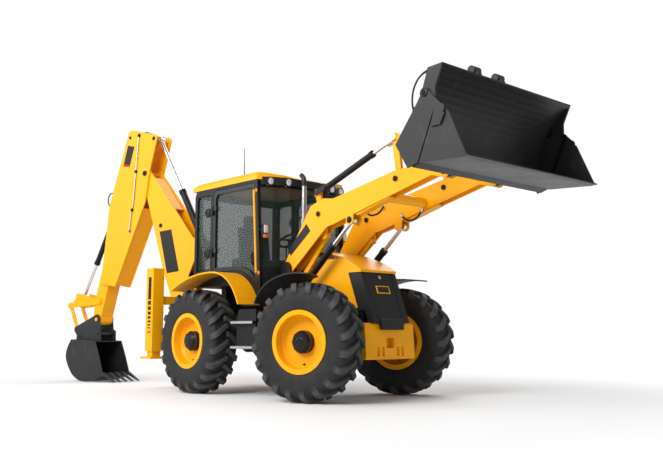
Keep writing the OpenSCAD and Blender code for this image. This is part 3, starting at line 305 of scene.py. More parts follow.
@dataclass(frozen=True)
class Paint(Finish):
    """Sprayed paint with faint orange peel, cloudy gloss and a little dust low down."""

    tone: Tone
    rough: float = 0.36
    coat: float = 0.06
    dust: float = 0.10
    peel: float = 0.03
    shine: float = 0.16
    dust_height: float = 0.75
    dust_fade: float = 1.3

    def base(self, graph: Graph) -> tuple[Sock, Sock]:
        """Builds the paint's colour and roughness.

        Args:
            graph: material being made.

        Returns:
            Base colour and roughness.
        """
        cloud = graph.noise(2.2)
        grime = graph.noise(7.0, 6.0, 0.65)
        height = graph.axes()[2].below(self.dust_height, self.dust_fade)
        low = height * grime.above(0.52, 0.25) * self.dust
        colour = graph.mix(low, graph.vary(cloud, self.tone, 0.94, 1.05), Tone.DUST.rgba())
        return colour, cloud * 0.12 + (self.rough - 0.06) + low * 0.5

    def sockets(self, graph: Graph) -> Sockets:
        """Shader inputs by name."""
        colour, rough = self.base(graph)
        return dict(Base_Color=colour, Roughness=rough, Coat_Weight=self.coat,
                    Coat_Roughness=COAT_ROUGH, Specular_IOR_Level=self.shine,
                    Normal=graph.bump(graph.noise(260.0, 2.0), self.peel, 0.002))


@dataclass(frozen=True)
class StripedPaint(Paint):
    """Paint with a marked strip outside: a black panel, bars that thin downward and a red bar."""

    outer: float = 1.168
    strip: Pair = (-0.950, 0.042)
    panel: Pair = (1.475, 0.165)
    red_bar: Pair = (0.838, 0.012)
    bars: Spots = ((1.262, 0.031), (1.184, 0.027), (1.113, 0.023), (1.049, 0.019),
                   (0.992, 0.015), (0.942, 0.011), (0.899, 0.008))

    def base(self, graph: Graph) -> tuple[Sock, Sock]:
        """Lays the strip over the paint; each mark is a middle height and a half height.

        Args:
            graph: material being made.

        Returns:
            Base colour and roughness.
        """
        colour, rough = super().base(graph)
        x, y, z = graph.axes()
        here = (abs(x - (self.strip[0] - REAR_AXLE_BACK)).below(self.strip[1])
                * abs(y).above(self.outer, 0.001))
        marks = [(mark, Tone.BLACK) for mark in (self.panel, *self.bars)]
        for (middle, half), tone in (*marks, (self.red_bar, Tone.RED)):
            colour = graph.mix(here * abs(z - middle).below(half), colour, tone.rgba())
        return colour, rough


@dataclass(frozen=True)
class StackSteel(Finish):
    """Bright exhaust pipe, blackened above a height."""

    black_from: float = 2.80

    def sockets(self, graph: Graph) -> Sockets:
        """Shader inputs by name.

        Args:
            graph: material being made.

        Returns:
            What feeds each socket.
        """
        streak = graph.noise(40.0, 3.0, 0.5, (1.0, 1.0, 0.08))
        soot = graph.axes()[2].above(self.black_from, 0.006)
        bright = graph.vary(streak, Tone.CHROME, 0.75, 1.05)
        return dict(Base_Color=graph.mix(soot, bright, Tone.BLACK.rgba()), Metallic=1.0 - soot,
                    Roughness=streak * 0.12 + 0.14 + soot * 0.3)


@dataclass(frozen=True)
class WornSteel(Finish):
    """Dark painted bucket steel, rubbed brighter in streaks."""

    tone: Tone
    rough: float = 0.42

    def sockets(self, graph: Graph) -> Sockets:
        """Shader inputs by name.

        Args:
            graph: material being made.

        Returns:
            What feeds each socket.
        """
        cloud = graph.noise(3.0, 5.0, 0.6)
        scratch = graph.noise(26.0, 3.0, 0.6, (0.25, 1.0, 0.12)).above(0.66, 0.12) * 0.22
        colour = graph.vary(cloud, self.tone, 0.75, 1.35)
        return dict(Base_Color=graph.mix(scratch, colour, Tone.RUBBED_STEEL.rgba()),
                    Roughness=cloud * 0.2 + (self.rough - 0.1) - scratch * 0.15,
                    Metallic=scratch * 0.9, Specular_IOR_Level=0.32,
                    Normal=graph.bump(graph.noise(90.0, 4.0), 0.06, 0.003))


@dataclass(frozen=True)
class Rubber(Finish):
    """Matt tyre or hose rubber with a fine grain and a film of dust, paler where lugs are worn."""

    tone: Tone = Tone.RUBBER
    dust: float = 0.10

    def sockets(self, graph: Graph) -> Sockets:
        """Shader inputs by name.

        Args:
            graph: material being made.

        Returns:
            What feeds each socket.
        """
        cloud = graph.noise(9.0, 6.0, 0.6)
        film = cloud.above(0.55, 0.3) * self.dust
        colour = graph.mix(film, self.tone.rgba(), Tone.DUST.rgba(0.6))
        worn = graph.node("ShaderNodeAttribute", {"attribute_name": LUG_WEAR}, {}, "Fac")
        colour = graph.mix(worn * (cloud * 0.7 + 0.15), colour, Tone.WORN_RUBBER.rgba())
        return dict(Base_Color=colour, Roughness=0.56 + cloud * 0.2, Specular_IOR_Level=0.3,
                    Normal=graph.bump(graph.noise(150.0, 3.0), 0.12, 0.002))


@dataclass(frozen=True)
class Metal(Finish):
    """Bare metal with fine lengthwise streaks."""

    tone: Tone
    rough: float = 0.12

    def sockets(self, graph: Graph) -> Sockets:
        """Shader inputs by name."""
        streak = graph.noise(60.0, 3.0, 0.5, (0.2, 1.0, 0.2))
        return dict(Base_Color=graph.vary(streak, self.tone, 0.85, 1.1), Metallic=1.0,
                    Roughness=streak * 0.14 + (self.rough - 0.05))


@dataclass(frozen=True)
class Moulding(Finish):
    """Grained black plastic."""

    tone: Tone = Tone.PLASTIC
    rough: float = 0.5

    def sockets(self, graph: Graph) -> Sockets:
        """Shader inputs by name."""
        cloud = graph.noise(5.0)
        return dict(Base_Color=graph.vary(cloud, self.tone, 0.8, 1.25),
                    Roughness=cloud * 0.15 + (self.rough - 0.07), Specular_IOR_Level=0.3,
                    Normal=graph.bump(graph.noise(420.0, 2.0), 0.12, 0.0015))


@dataclass(frozen=True)
class Glazing(Finish):
    """Tinted cab glass, a little clearer in cloudy patches."""

    alpha: float = GLASS_ALPHA

    def sockets(self, graph: Graph) -> Sockets:
        """Shader inputs by name."""
        cloud = graph.noise(1.6, 2.0)
        return dict(Base_Color=graph.vary(cloud, Tone.GLASS, 0.7, 1.2), Roughness=0.04,
                    Alpha=cloud * 0.08 + (self.alpha - 0.04), Specular_IOR_Level=0.3)


@dataclass(frozen=True)
class DoorFinish(Finish):
    """Black door frame with a glazed pane, told apart by the pane's own plane."""

    pane_y: float = 0.755
    pane_half: float = 0.0046
    alpha: float = GLASS_ALPHA

    def sockets(self, graph: Graph) -> Sockets:
        """Shader inputs by name.

        Args:
            graph: material being made.

        Returns:
            What feeds each socket.
        """
        cloud = graph.noise(2.0)
        pane = abs(abs(graph.axes()[1]) - self.pane_y).below(self.pane_half, 0.0004)
        colour = graph.mix(pane, graph.vary(cloud, Tone.BLACK, 0.8, 1.3),
                           graph.vary(cloud, Tone.GLASS, 0.7, 1.2))
        return dict(Base_Color=colour, Roughness=0.34 - pane * 0.3, Specular_IOR_Level=0.3,
                    Alpha=1.0 - pane * (1.0 - self.alpha))


@dataclass(frozen=True)
class Lens(Finish):
    """Lamp lens with moulded ribs."""

    tone: Tone
    rib: float = 0.009

    def sockets(self, graph: Graph) -> Sockets:
        """Shader inputs by name."""
        across = (graph.axes()[1] % self.rib) / self.rib
        return dict(Base_Color=graph.vary(across, self.tone, 0.75, 1.1), Roughness=0.12,
                    Metallic=0.25, Coat_Weight=1.0, Normal=graph.bump(across, 0.25, 0.004))


@dataclass(frozen=True)
class Vinyl(Finish):
    """Seat covering with a fine leather grain."""

    grain: float = 260.0

    def sockets(self, graph: Graph) -> Sockets:
        """Shader inputs by name.

        Args:
            graph: material being made.

        Returns:
            What feeds each socket.
        """
        cloud = graph.noise(14.0)
        cells = graph.node("ShaderNodeTexVoronoi", {}, {"Vector": graph.object_point(),
                                                        "Scale": self.grain}, "Distance")
        return dict(Base_Color=graph.mix(cloud, Tone.VINYL.rgba(), Tone.PALE_VINYL.rgba()),
                    Roughness=0.55 + cloud * 0.12, Normal=graph.bump(cells, 0.2, 0.002))


class Shell:
    """Collects grids of points into one mesh piece."""

    def __init__(self, name: str) -> None:
        """Starts an empty piece.

        Args:
            name: piece's name.
        """
        self.name = name
        self.points: list[Array] = []
        self.faces: list[Array] = []
        self.caps: list[list[int]] = []
        self.count = 0

    def grid(self, points: Array, loop: bool = False, flip: bool = False) -> "Shell":
        """Adds quads over rows of points; each row is a closed ring.

        Args:
            points: array of shape (m, n, 3).
            loop: join the last row to the first.
            flip: turn the faces round.

        Returns:
            This shell.
        """
        m, n = points.shape[:2]
        u = np.arange(m if loop else m - 1)[:, None]
        v = np.arange(n)[None, :]
        u1, v1 = (u + 1) % m, (v + 1) % n
        quad = np.stack([u * n + v, u1 * n + v, u1 * n + v1, u * n + v1], -1).reshape(-1, 4)
        self.faces.append((quad[:, ::-1] if flip else quad) + self.count)
        self.points.append(points.reshape(-1, 3))
        self.count += m * n
        return self

    def loft(self, rings: Array, flip: bool = False) -> "Shell":
        """Adds a skin over rings of points, with one face on the first and one on the last.

        Args:
            rings: array of shape (m, n, 3).
            flip: turn the faces round.

        Returns:
            This shell.
        """
        m, n = rings.shape[:2]
        for start, back in ((self.count, flip), (self.count + (m - 1) * n, not flip)):
            ring = list(range(start, start + n))
            self.caps.append(ring[::-1] if back else ring)
        return self.grid(rings, flip=flip)

    def prism(self, outline: Array, push: Array) -> "Shell":
        """Adds an outline carried along a straight push, with both ends closed."""
        return self.loft(np.stack([outline, outline + push]))

    def tube(self, path: Array, radius: Union[float, Array], sides: int = 10) -> "Shell":
        """Carries a circle along a path: point + radius * (cos t * normal + sin t * binormal).

        Args:
            path: (n, 3) points.
            radius: one value or one for each point.
            sides: points round the circle.

        Returns:
            This shell.
        """
        normal, binormal = sweep_frames(path)
        angle = np.linspace(0, 2 * math.pi, sides, endpoint=False)[None, :, None]
        wide = np.broadcast_to(np.asarray(radius, float), (len(path),))[:, None, None]
        ring = np.cos(angle) * normal[:, None] + np.sin(angle) * binormal[:, None]
        return self.loft(path[:, None] + wide * ring, flip=True)

    def revolve(self, profile: Knots, origin: Array, axis: Sequence[float],
                sides: int = 32) -> "Shell":
        """Turns (axial, radius) pairs about an axis: origin + a*axis + r*(cos t*e1 + sin t*e2).

        Args:
            profile: (n, 2) values from one end to the other.
            origin: point on the axis.
            axis: direction of the axis.
            sides: points round the axis.

        Returns:
            This shell.
        """
        e1, e2, e3 = basis(axis)
        angle = np.linspace(0, 2 * math.pi, sides, endpoint=False)[:, None]
        along, radius = np.asarray(profile, float).T[:, :, None, None]
        turn = np.cos(angle) * e1 + np.sin(angle) * e2
        return self.loft(origin + along * e3 + radius * turn, flip=True)

    def pillow(self, centre: Array, half: Sequence[float], power: float = 0.3,
               size: int = 24) -> "Shell":
        """Adds a superellipsoid: half * sign(c) * |c|**power of the sphere's cosines and sines.

        Args:
            centre: middle of the form.
            half: half sizes along its axes.
            power: 1 for an ellipsoid, towards 0 for a box.
            size: rows of the grid.

        Returns:
            This shell.
        """
        lat = np.linspace(-math.pi / 2, math.pi / 2, size)[:, None]
        lon = np.linspace(0, 2 * math.pi, 2 * size, endpoint=False)[None, :]
        ball = np.stack(np.broadcast_arrays(np.cos(lat), np.cos(lat), np.sin(lat)), -1)
        turn = np.stack([np.cos(lon), np.sin(lon), np.ones_like(lon)], -1)
        first, second = (np.sign(c) * np.abs(c) ** power for c in (ball, turn))
        return self.grid(centre + first * second * np.asarray(half, float), flip=True)

    def build(self, material: bpy.types.Material, body: str, slot: str,
              smooth: float = 35.0) -> bpy.types.Object:
        """Makes the mesh, dresses it and sets it on a body.

        Args:
            material: finish.
            body: CAD body it rides on.
            slot: name of a material slot; not used.
            smooth: edges sharper than this angle stay sharp.

        Returns:
            The new object.
        """
        mesh = bpy.data.meshes.new(self.name)
        faces = [f for block in self.faces for f in block.tolist()] + self.caps
        mesh.from_pydata(np.concatenate(self.points), [], faces)
        mesh.materials.append(material)
        mesh.validate()
        piece = bpy.data.objects.new(self.name, mesh)
        bpy.context.scene.collection.objects.link(piece)
        close_mesh(mesh, smooth)
        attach(piece, body)
        LOG.info("%s: %d faces on %s", self.name, len(mesh.polygons), body)
        return piece


def close_mesh(mesh: bpy.types.Mesh, smooth: float) -> None:
    """Merges poles and seams, points faces outwards and sets smooth shading by angle.

    Args:
        mesh: mesh to change.
        smooth: edges sharper than this angle stay sharp.
    """
    work = bmesh.new()
    work.from_mesh(mesh)
    bmesh.ops.remove_doubles(work, verts=work.verts, dist=2e-6)
    bmesh.ops.dissolve_degenerate(work, edges=work.edges, dist=1e-7)
    bmesh.ops.recalc_face_normals(work, faces=work.faces)
    work.to_mesh(mesh)
    work.free()
    mesh.polygons.foreach_set("use_smooth", np.ones(len(mesh.polygons), bool))
    mesh.set_sharp_from_angle(angle=math.radians(smooth))
    mesh.update()


def basis(axis: Sequence[float]) -> tuple[Array, Array, Array]:
    """Square axes from one direction, the first of them level unless it is steep.

    Args:
        axis: direction.

    Returns:
        Two unit vectors square to it, and its own unit vector.
    """
    axis = np.asarray(axis, float) / np.linalg.norm(axis)
    aside = UP if abs(axis[2]) < 0.9 else (1.0, 0.0, 0.0)
    first = np.cross(aside, axis)
    first /= np.linalg.norm(first)
    return first, np.cross(axis, first), axis


def sweep_frames(path: Array) -> tuple[Array, Array]:
    """Normals and binormals along a path, square to its tangents.

    Args:
        path: (n, 3) points.

    Returns:
        Normal and binormal at each point.
    """
    tangent = np.gradient(path, axis=0)
    tangent /= np.linalg.norm(tangent, axis=1, keepdims=True)
    spread = np.linalg.svd(path - path.mean(0), full_matrices=True)[2][2]
    normal = np.cross(tangent, spread)
    weak = np.linalg.norm(normal, axis=1) < 1e-6
    normal[weak] = np.cross(tangent[weak], basis(tangent[0])[0])
    normal /= np.linalg.norm(normal, axis=1, keepdims=True)
    return normal, np.cross(tangent, normal)


def smooth_path(points: Knots, steps: int = 10) -> Array:
    """Catmull-Rom curve through points: a cubic between each pair with slopes from its neighbours.

    Args:
        points: points to pass.
        steps: pieces between two points.

    Returns:
        (n, 3) points along the curve.
    """
    p = np.asarray(points, float)
    p = np.concatenate([2 * p[:1] - p[1:2], p, 2 * p[-1:] - p[-2:-1]])
    t = np.linspace(0, 1, steps, endpoint=False)[None, :, None]
    a, b, c, d = (p[k:len(p) - 3 + k, None] for k in range(4))
    curve = 0.5 * (2 * b + (c - a) * t + (2 * a - 5 * b + 4 * c - d) * t ** 2
                   + (3 * b - a - 3 * c + d) * t ** 3)
    return np.concatenate([curve.reshape(-1, 3), p[-2:-1]])


class Finishes:
    """The machine's materials, and which CAD node wears which."""

    def __init__(self) -> None:
        """Makes every material once."""
        self.yellow = Paint("yellow_paint", Tone.YELLOW).make()
        self.black = Paint("black_paint", Tone.BLACK, 0.36, 0.0, 0.05, shine=0.2).make()
        self.steel = WornSteel("bucket_steel", Tone.DARK_STEEL).make()
        self.chrome = Metal("rod_chrome", Tone.CHROME, 0.2).make()
        self.alloy = Metal("step_alloy", Tone.ALLOY, 0.35).make()
        self.stack = StackSteel("exhaust_steel").make()
        self.striped = StripedPaint("stabiliser_stripes", Tone.YELLOW).make()
        self.red_paint = Paint("red_paint", Tone.RED).make()
        self.blue_cap = Paint("blue_fitting", Tone.BLUE).make()
        self.rubber = Rubber("tyre_rubber").make()
        self.hose = Rubber("hose_rubber", dust=0.03).make()
        self.plastic = Moulding("grained_plastic").make()
        self.glass = Glazing("cab_glazing").make()
        self.door = DoorFinish("door_frame_and_pane").make()
        self.lens = Lens("clear_lens", Tone.LENS).make()
        self.amber = Lens("amber_lens", Tone.AMBER).make()
        self.vinyl = Vinyl("seat_vinyl").make()

    def of_node(self, node: str) -> bpy.types.Material:
        """Finish of one CAD node.

        Args:
            node: CAD node's name.

        Returns:
            Its material.
        """
        if node.endswith("_barrel"):
            return self.black
        if node.endswith(("_rod", "_rods")):
            return self.chrome
        groups = (
            (self.rubber, ("tyre_",)), (self.glass, ("cab_glass",)), (self.door, ("door_",)),
            (self.stack, ("exhaust",)), (self.striped, ("slide_frame",)),
            (self.plastic, ("grille", "front_fenders", "operator_station")),
            (self.steel, ("loader_bucket", "clam_jaw", "digging_bucket")),
            (self.yellow, ("counterweight", "bonnet", "cab_roof", "rear_fenders", "loader_arms",
                           "level_links", "bellcranks", "tip_levers", "bucket_links", "kingpost",
                           "boom", "outer_dipper", "inner_dipper", "hoe_lever", "hoe_link", "rim_",
                           "stabiliser_")),
        )
        return next((material for material, starts in groups if node.startswith(starts)),
                    self.black)

    def dress(self) -> None:
        """Gives every CAD node its finish."""
        for name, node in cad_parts.items():
            node.data.materials.clear()
            node.data.materials.append(self.of_node(name))
            LOG.info("%s wears %s", name, node.data.materials[0].name)


@dataclass
class Tyre:
    """Lugged tyre with a round-shouldered carcass."""

    radius: float = 0.715
    width: float = 0.440
    rim: float = 0.345
    lug_height: float = 0.044
    lugs: int = 20
    across_steps: int = 96
    lug_steps: int = 26
    lean: float = 0.60
    lug_share: float = 0.195
    lug_spread: float = 0.05
    flank: float = 0.05
    past_middle: float = 0.026

    def profile(self) -> tuple[Array, Array]:
        """Carcass section from one bead to the other: a smooth curve through knots, evenly spaced.

        Returns:
            Points (axial, radius) and how much of the lug's height stands at each.
        """
        half, foot = self.width / 2, self.radius - self.lug_height
        knots = np.array([(-half + 0.045, self.rim + 0.012), (-half + 0.020, self.rim + 0.06),
                          (-half + 0.006, self.rim + 0.15), (-half + 0.012, foot - 0.085),
                          (-half + 0.040, foot - 0.022), (-half + 0.10, foot - 0.004),
                          (0.0, foot)])
        knots = np.concatenate([knots, (knots * [-1, 1])[-2::-1]])
        flat = np.concatenate([knots, np.zeros((len(knots), 1))], 1)
        curve = smooth_path(flat, 12)[:, :2]
        along = np.cumsum(np.linalg.norm(np.diff(curve, axis=0, prepend=curve[:1]), axis=1))
        even = np.linspace(0, along[-1], self.across_steps)
        curve = np.stack([np.interp(even, along, curve[:, k]) for k in (0, 1)], 1)
        stand = np.clip((curve[:, 1] - (foot - 0.105)) / 0.02, 0, 1)
        return curve, stand

    def surface(self) -> tuple[Array, Array]:
        """Carcass pushed out along its own normal where a lug stands.

        A lug's middle lies at angle = (k + side / 4) * pitch + lean * distance from the shoulder.
        Its height falls in a steep ramp at its flanks, so the bars slant to the tread's middle.

        Returns:
            (m, n, 3) grid in the tyre's own axes, with Y along its axle, and each point's wear.
        """
        curve, stand = self.profile()
        slope = np.gradient(curve, axis=0)
        normal = np.stack([-slope[:, 1], slope[:, 0]], 1)
        normal /= np.linalg.norm(normal, axis=1, keepdims=True)
        turn = np.linspace(0, 2 * math.pi, self.lugs * self.lug_steps, endpoint=False)[:, None]
        pitch = 2 * math.pi / self.lugs
        y = curve[:, 0][None]
        inward = 1 - np.abs(y) / (self.width / 2)
        lug = np.zeros((len(turn), len(curve)))
        for side in (-1, 1):
            middle = self.lean * pitch * inward ** 1.1 * 1.2 + side * pitch / 4
            phase = np.abs((turn - middle + pitch / 2) % pitch - pitch / 2) / pitch
            wide = self.lug_share + self.lug_spread * (1 - inward)
            bar = np.clip((wide - phase) / self.flank, 0, 1)
            reach = np.clip((side * y + self.past_middle) / 0.012, 0, 1)
            lug = np.maximum(lug, bar * reach)
        lug = lug * stand[None]
        tread = np.clip((curve[:, 1][None] - self.radius + 0.14) / 0.04, 0.0, 1.0)
        wear = np.clip(lug * 1.6 - 0.6, 0.0, 1.0) * tread
        height = lug * self.lug_height
        radial = curve[:, 1][None] + height * np.maximum(normal[:, 1], 0.0)[None]
        limit = self.width / 2 - 0.001
        axial = np.clip(y + height * normal[:, 0][None] * 0.55, -limit, limit)
        crown = self.radius - 0.0005 - 0.012 * (np.abs(axial) / limit) ** 4
        radial = np.minimum(radial, crown)
        return np.stack([radial * np.cos(turn), axial, radial * np.sin(turn)], -1), wear


@dataclass
class Wheels:
    """Four equal wheels: tyres, hub covers and valve stems."""

    finishes: Finishes
    wheelbase: float = 2.22
    track_half: float = 0.936
    kingpin_in: float = 0.300
    axle_z: float = 0.715
    steer: dict[str, float] = field(default_factory=lambda: {"right": 15.5, "left": 19.5})
    valve_ring: float = 0.262
    bolt_ring: float = 0.122
    hub_bolts: int = 8
    hub_profile: Spots = ((0.060, 0.137), (0.128, 0.1365), (0.139, 0.127), (0.164, 0.108),
                          (0.176, 0.094), (0.1775, 0.06), (0.181, 0.055), (0.183, 0.035),
                          (0.183, 0.004))
    bolt_profile: Spots = ((0.130, 0.0095), (0.152, 0.0095), (0.155, 0.007))
    valve_profile: Spots = ((0.050, 0.013), (0.062, 0.012), (0.0621, 0.007), (0.100, 0.0068),
                            (0.104, 0.005))

    def place(self, end: str, side: Side) -> tuple[Array, Array]:
        """Middle of a wheel and its axes.

        Args:
            end: front or rear.
            side: side of the machine.

        Returns:
            Centre, and a matrix whose columns are forward, outboard and up.
        """
        front = end == "front"
        turn = math.radians(self.steer[side.tag]) if front else 0.0
        forward = np.array([math.cos(turn), math.sin(turn), 0.0])
        outboard = side.value * np.array([-math.sin(turn), math.cos(turn), 0.0])
        pin = side.at(self.wheelbase if front else 0.0, self.track_half - self.kingpin_in,
                      self.axle_z)
        return pin + outboard * self.kingpin_in, np.stack([forward, outboard, UP], 1)

    def hub(self, centre: Array, axes: Array, name: str, body: str) -> None:
        """Black hub cap with a ring of studs, and a valve stem beside it on the yellow disc.

        Args:
            centre: middle of the wheel.
            axes: columns are forward, outboard and up.
            name: the wheel's name.
            body: CAD body it rides on.
        """
        forward, out, up = axes.T
        cap = Shell(f"hub_cap_{name}").revolve(self.hub_profile, centre, out, 48)
        for a in np.arange(self.hub_bolts) * 2 * math.pi / self.hub_bolts:
            spot = centre + self.bolt_ring * (math.cos(a) * forward + math.sin(a) * up)
            cap.revolve(self.bolt_profile, spot, out, 6)
        cap.build(self.finishes.black, body, "black_paint", CAP_SMOOTH)
        valve = Shell(f"valve_{name}")
        valve.revolve(self.valve_profile, centre - self.valve_ring * up, out, 12)
        valve.build(self.finishes.hose, body, "black_plastic", 40)

    def build(self) -> None:
        """Makes and dresses every wheel."""
        shape, worn = Tyre().surface()
        for end in ("front", "rear"):
            for side in Side:
                name = f"{end}_{side.tag}"
                centre, axes = self.place(end, side)
                body = f"wheel_{name}"
                tread = Shell(f"tread_{name}").grid(centre + shape @ axes.T, loop=True)
                piece = tread.build(self.finishes.rubber, body, "tyre_rubber", 32)
                wear = piece.data.attributes.new(LUG_WEAR, "FLOAT", "POINT")
                wear.data.foreach_set("value", worn.ravel().astype(np.float32))
                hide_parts(f"tyre_{name}")
                self.hub(centre, axes, name, body)


@dataclass
class Cab:
    """Trim of the cab: visor, lamps, rails, hinge covers, handles, aerial, wiper and seat."""

    finishes: Finishes
    wall_y: float = 0.780
    roof_front: float = 1.330
    roof_arc: float = 1.500
    visor_half: float = 0.735
    visor_z: float = 2.878
    visor_steps: int = 61
    visor_section: Knots = ((-0.012, -0.075, 0.0), (0.012, -0.070, 0.0), (0.022, -0.035, 0.0),
                            (0.022, 0.0, 0.0), (0.014, 0.024, 0.3), (-0.005, 0.034, 0.8),
                            (-0.030, 0.042, 1.0), (-0.050, 0.030, 1.0), (-0.045, -0.040, 0.0))
    lamp_z: float = 2.852
    lamp_spots: Spots = ((1.292, 0.400), (1.210, 0.645))
    lamp_r: float = 0.052
    lamp_aim: tuple[float, float, float] = (1.0, 0.0, -0.12)
    rail_top: Pair = (1.073, 2.690)
    rail_low: Pair = (1.137, 1.650)
    rail_r: float = 0.015
    rail_foot: Spots = ((0.0, 0.026), (0.008, 0.026), (0.011, 0.020))
    corner_y: float = 0.725
    hinge_x: float = -0.045
    hinge_z: Pair = (1.945, 2.535)
    disc: Spots = ((0.0, 0.066), (0.018, 0.066), (0.026, 0.058), (0.029, 0.040), (0.024, 0.036),
                   (0.024, 0.016), (0.030, 0.012), (0.031, 0.003))
    aerial_foot: Spots = ((0.0, 0.030), (0.010, 0.029), (0.020, 0.016), (0.035, 0.009),
                          (0.036, 0.004))
    screen_front: float = 1.258
    screen_arc: float = 1.9
    wiper_y: Pair = (-0.30, 0.18)
    wiper_z: Pair = (1.76, 2.18)
    seat_x: float = 0.250
    deck_z: float = 1.520
    seat_tilt: float = 7.5

    def visor(self) -> None:
        """Black panel on the roof's front arc: x = arc(y) + a section that rises at the lamps."""
        y = np.linspace(-self.visor_half, self.visor_half, self.visor_steps)[:, None]
        arc = self.roof_front - self.roof_arc + np.sqrt(self.roof_arc ** 2 - y ** 2)
        rise = 0.045 * np.exp(-((np.abs(y) - 0.52) / 0.20) ** 4)
        forward, up, share = np.array(self.visor_section).T
        x = arc + forward - rise * share * 0.9
        z = self.visor_z + up + rise * share
        rings = np.stack(np.broadcast_arrays(x - REAR_AXLE_BACK, y, z), -1)
        shell = Shell("roof_visor").loft(rings)
        shell.build(self.finishes.plastic, "chassis", "black_plastic", 40)

    def lamps(self) -> None:
        """Work lamps under the visor: turned black bowls, and lenses that are turned ellipses."""
        bowls, lenses = Shell("roof_lamp_bowls"), Shell("roof_lamp_lenses")
        r = self.lamp_r
        bowl = ((-0.058, 0.030), (-0.050, 0.046), (-0.01, r + 0.008), (0.012, r + 0.008),
                (0.012, r - 0.003), (0.004, r - 0.004))
        arc = np.linspace(0, math.pi / 2, 8)
        dome = np.stack([0.006 + 0.016 * np.sin(arc), (r - 0.004) * np.cos(arc) + 1e-4], 1)
        for x, y in self.lamp_spots:
            for side in Side:
                spot = side.at(x, y, self.lamp_z)
                bowls.revolve(bowl, spot, self.lamp_aim, 28)
                lenses.revolve(dome, spot, self.lamp_aim, 28)
        bowls.build(self.finishes.plastic, "chassis", "black_plastic")
        lenses.build(self.finishes.lens, "chassis", "cab_glazing")

    def rails(self) -> None:
        """Yellow grab rails on the front pillars, with feet."""
        shell = Shell("grab_rails")
        (x1, z1), (x0, z0) = self.rail_top, self.rail_low
        foot, out = self.wall_y - 0.002, self.wall_y + 0.040
        knots = ((x1 - 0.004, foot, z1 + 0.035), (x1 - 0.002, out - 0.012, z1 + 0.026),
                 (x1, out, z1), (x1 * 0.7 + x0 * 0.3, out, z1 * 0.7 + z0 * 0.3),
                 (x1 * 0.3 + x0 * 0.7, out, z1 * 0.3 + z0 * 0.7), (x0, out, z0),
                 (x0 + 0.002, out - 0.012, z0 - 0.026), (x0 + 0.004, foot, z0 - 0.035))
        for side in Side:
            shell.tube(side.path(knots, 8), self.rail_r, 14)
            for knot in (knots[0], knots[-1]):
                shell.revolve(self.rail_foot, side.at(*knot), side.out, 20)
        shell.build(self.finishes.yellow, "chassis", "yellow_paint")

    def indicators(self) -> None:
        """Lamp stacks on the front corners: a black back, a clear lens and an amber one below."""
        back, clear = Shell("corner_lamp_backs"), Shell("corner_lamp_lenses")
        amber = Shell("corner_indicators")
        y = self.corner_y
        stem = ((1.115, 0.772, 2.20), (1.150, 0.765, 2.19), (1.185, y, 2.17))
        for side in Side:
            back.pillow(side.at(1.190, y, 2.165), (0.030, 0.036, 0.095), 0.25)
            back.tube(side.path(stem, 6), 0.012)
            clear.pillow(side.at(1.213, y, 2.195), (0.016, 0.031, 0.055), 0.3)
            amber.pillow(side.at(1.213, y, 2.100), (0.019, 0.034, 0.026), 0.35)
        back.build(self.finishes.plastic, "chassis", "black_plastic")
        clear.build(self.finishes.lens, "chassis", "cab_glazing")
        amber.build(self.finishes.amber, "chassis", "cab_glazing")

    def hinge_discs(self) -> None:
        """Round hinge covers on the door posts, and the latch handles on the doors."""
        y0, y1 = self.wall_y - 0.003, self.wall_y + 0.034
        bar = ((1.045, y0, 1.735), (1.040, y1, 1.745), (1.033, y1, 1.80), (1.026, y1, 1.865),
               (1.026, y0, 1.880))
        for side in Side:
            discs = Shell(f"door_hinge_discs_{side.tag}")
            for z in self.hinge_z:
                discs.revolve(self.disc, side.at(self.hinge_x, self.wall_y - SEATED, z), side.out)
            discs.build(self.finishes.black, "chassis", "black_paint")
            grip = Shell(f"door_handle_{side.tag}").tube(side.path(bar, 8), 0.011)
            grip.pillow(side.at(1.036, self.wall_y + 0.004, 1.81), (0.026, 0.010, 0.10), 0.35)
            grip.build(self.finishes.plastic, f"door_{side.tag}", "black_plastic")

    def aerial(self) -> None:
        """Whip aerial on a small foot: a straight tube that thins upward."""
        foot = at(0.43, -0.50, 3.012)
        shell = Shell("roof_aerial").revolve(self.aerial_foot, foot, UP, 18)
        rise = np.linspace(0, 1, 12)[:, None]
        shell.tube(foot + rise * np.array([-0.012, 0.0, 0.44]), 0.0065 - 0.003 * rise[:, 0], 8)
        shell.build(self.finishes.black, "chassis", "black_paint")

    def wiper(self) -> None:
        """Windscreen wiper: a blade that follows the screen's arc just clear of the glass."""
        y, z = np.linspace(*self.wiper_y, 14), np.linspace(*self.wiper_z, 14)
        arc = self.screen_front + np.sqrt(self.screen_arc ** 2 - y ** 2) - self.screen_arc
        x = arc - 0.02 - 0.06 * (z - self.wiper_z[0]) - REAR_AXLE_BACK + 0.012
        shell = Shell("screen_wiper").tube(np.stack([x, y, z], 1), 0.008, 8)
        shell.build(self.finishes.black, "chassis", "black_paint")

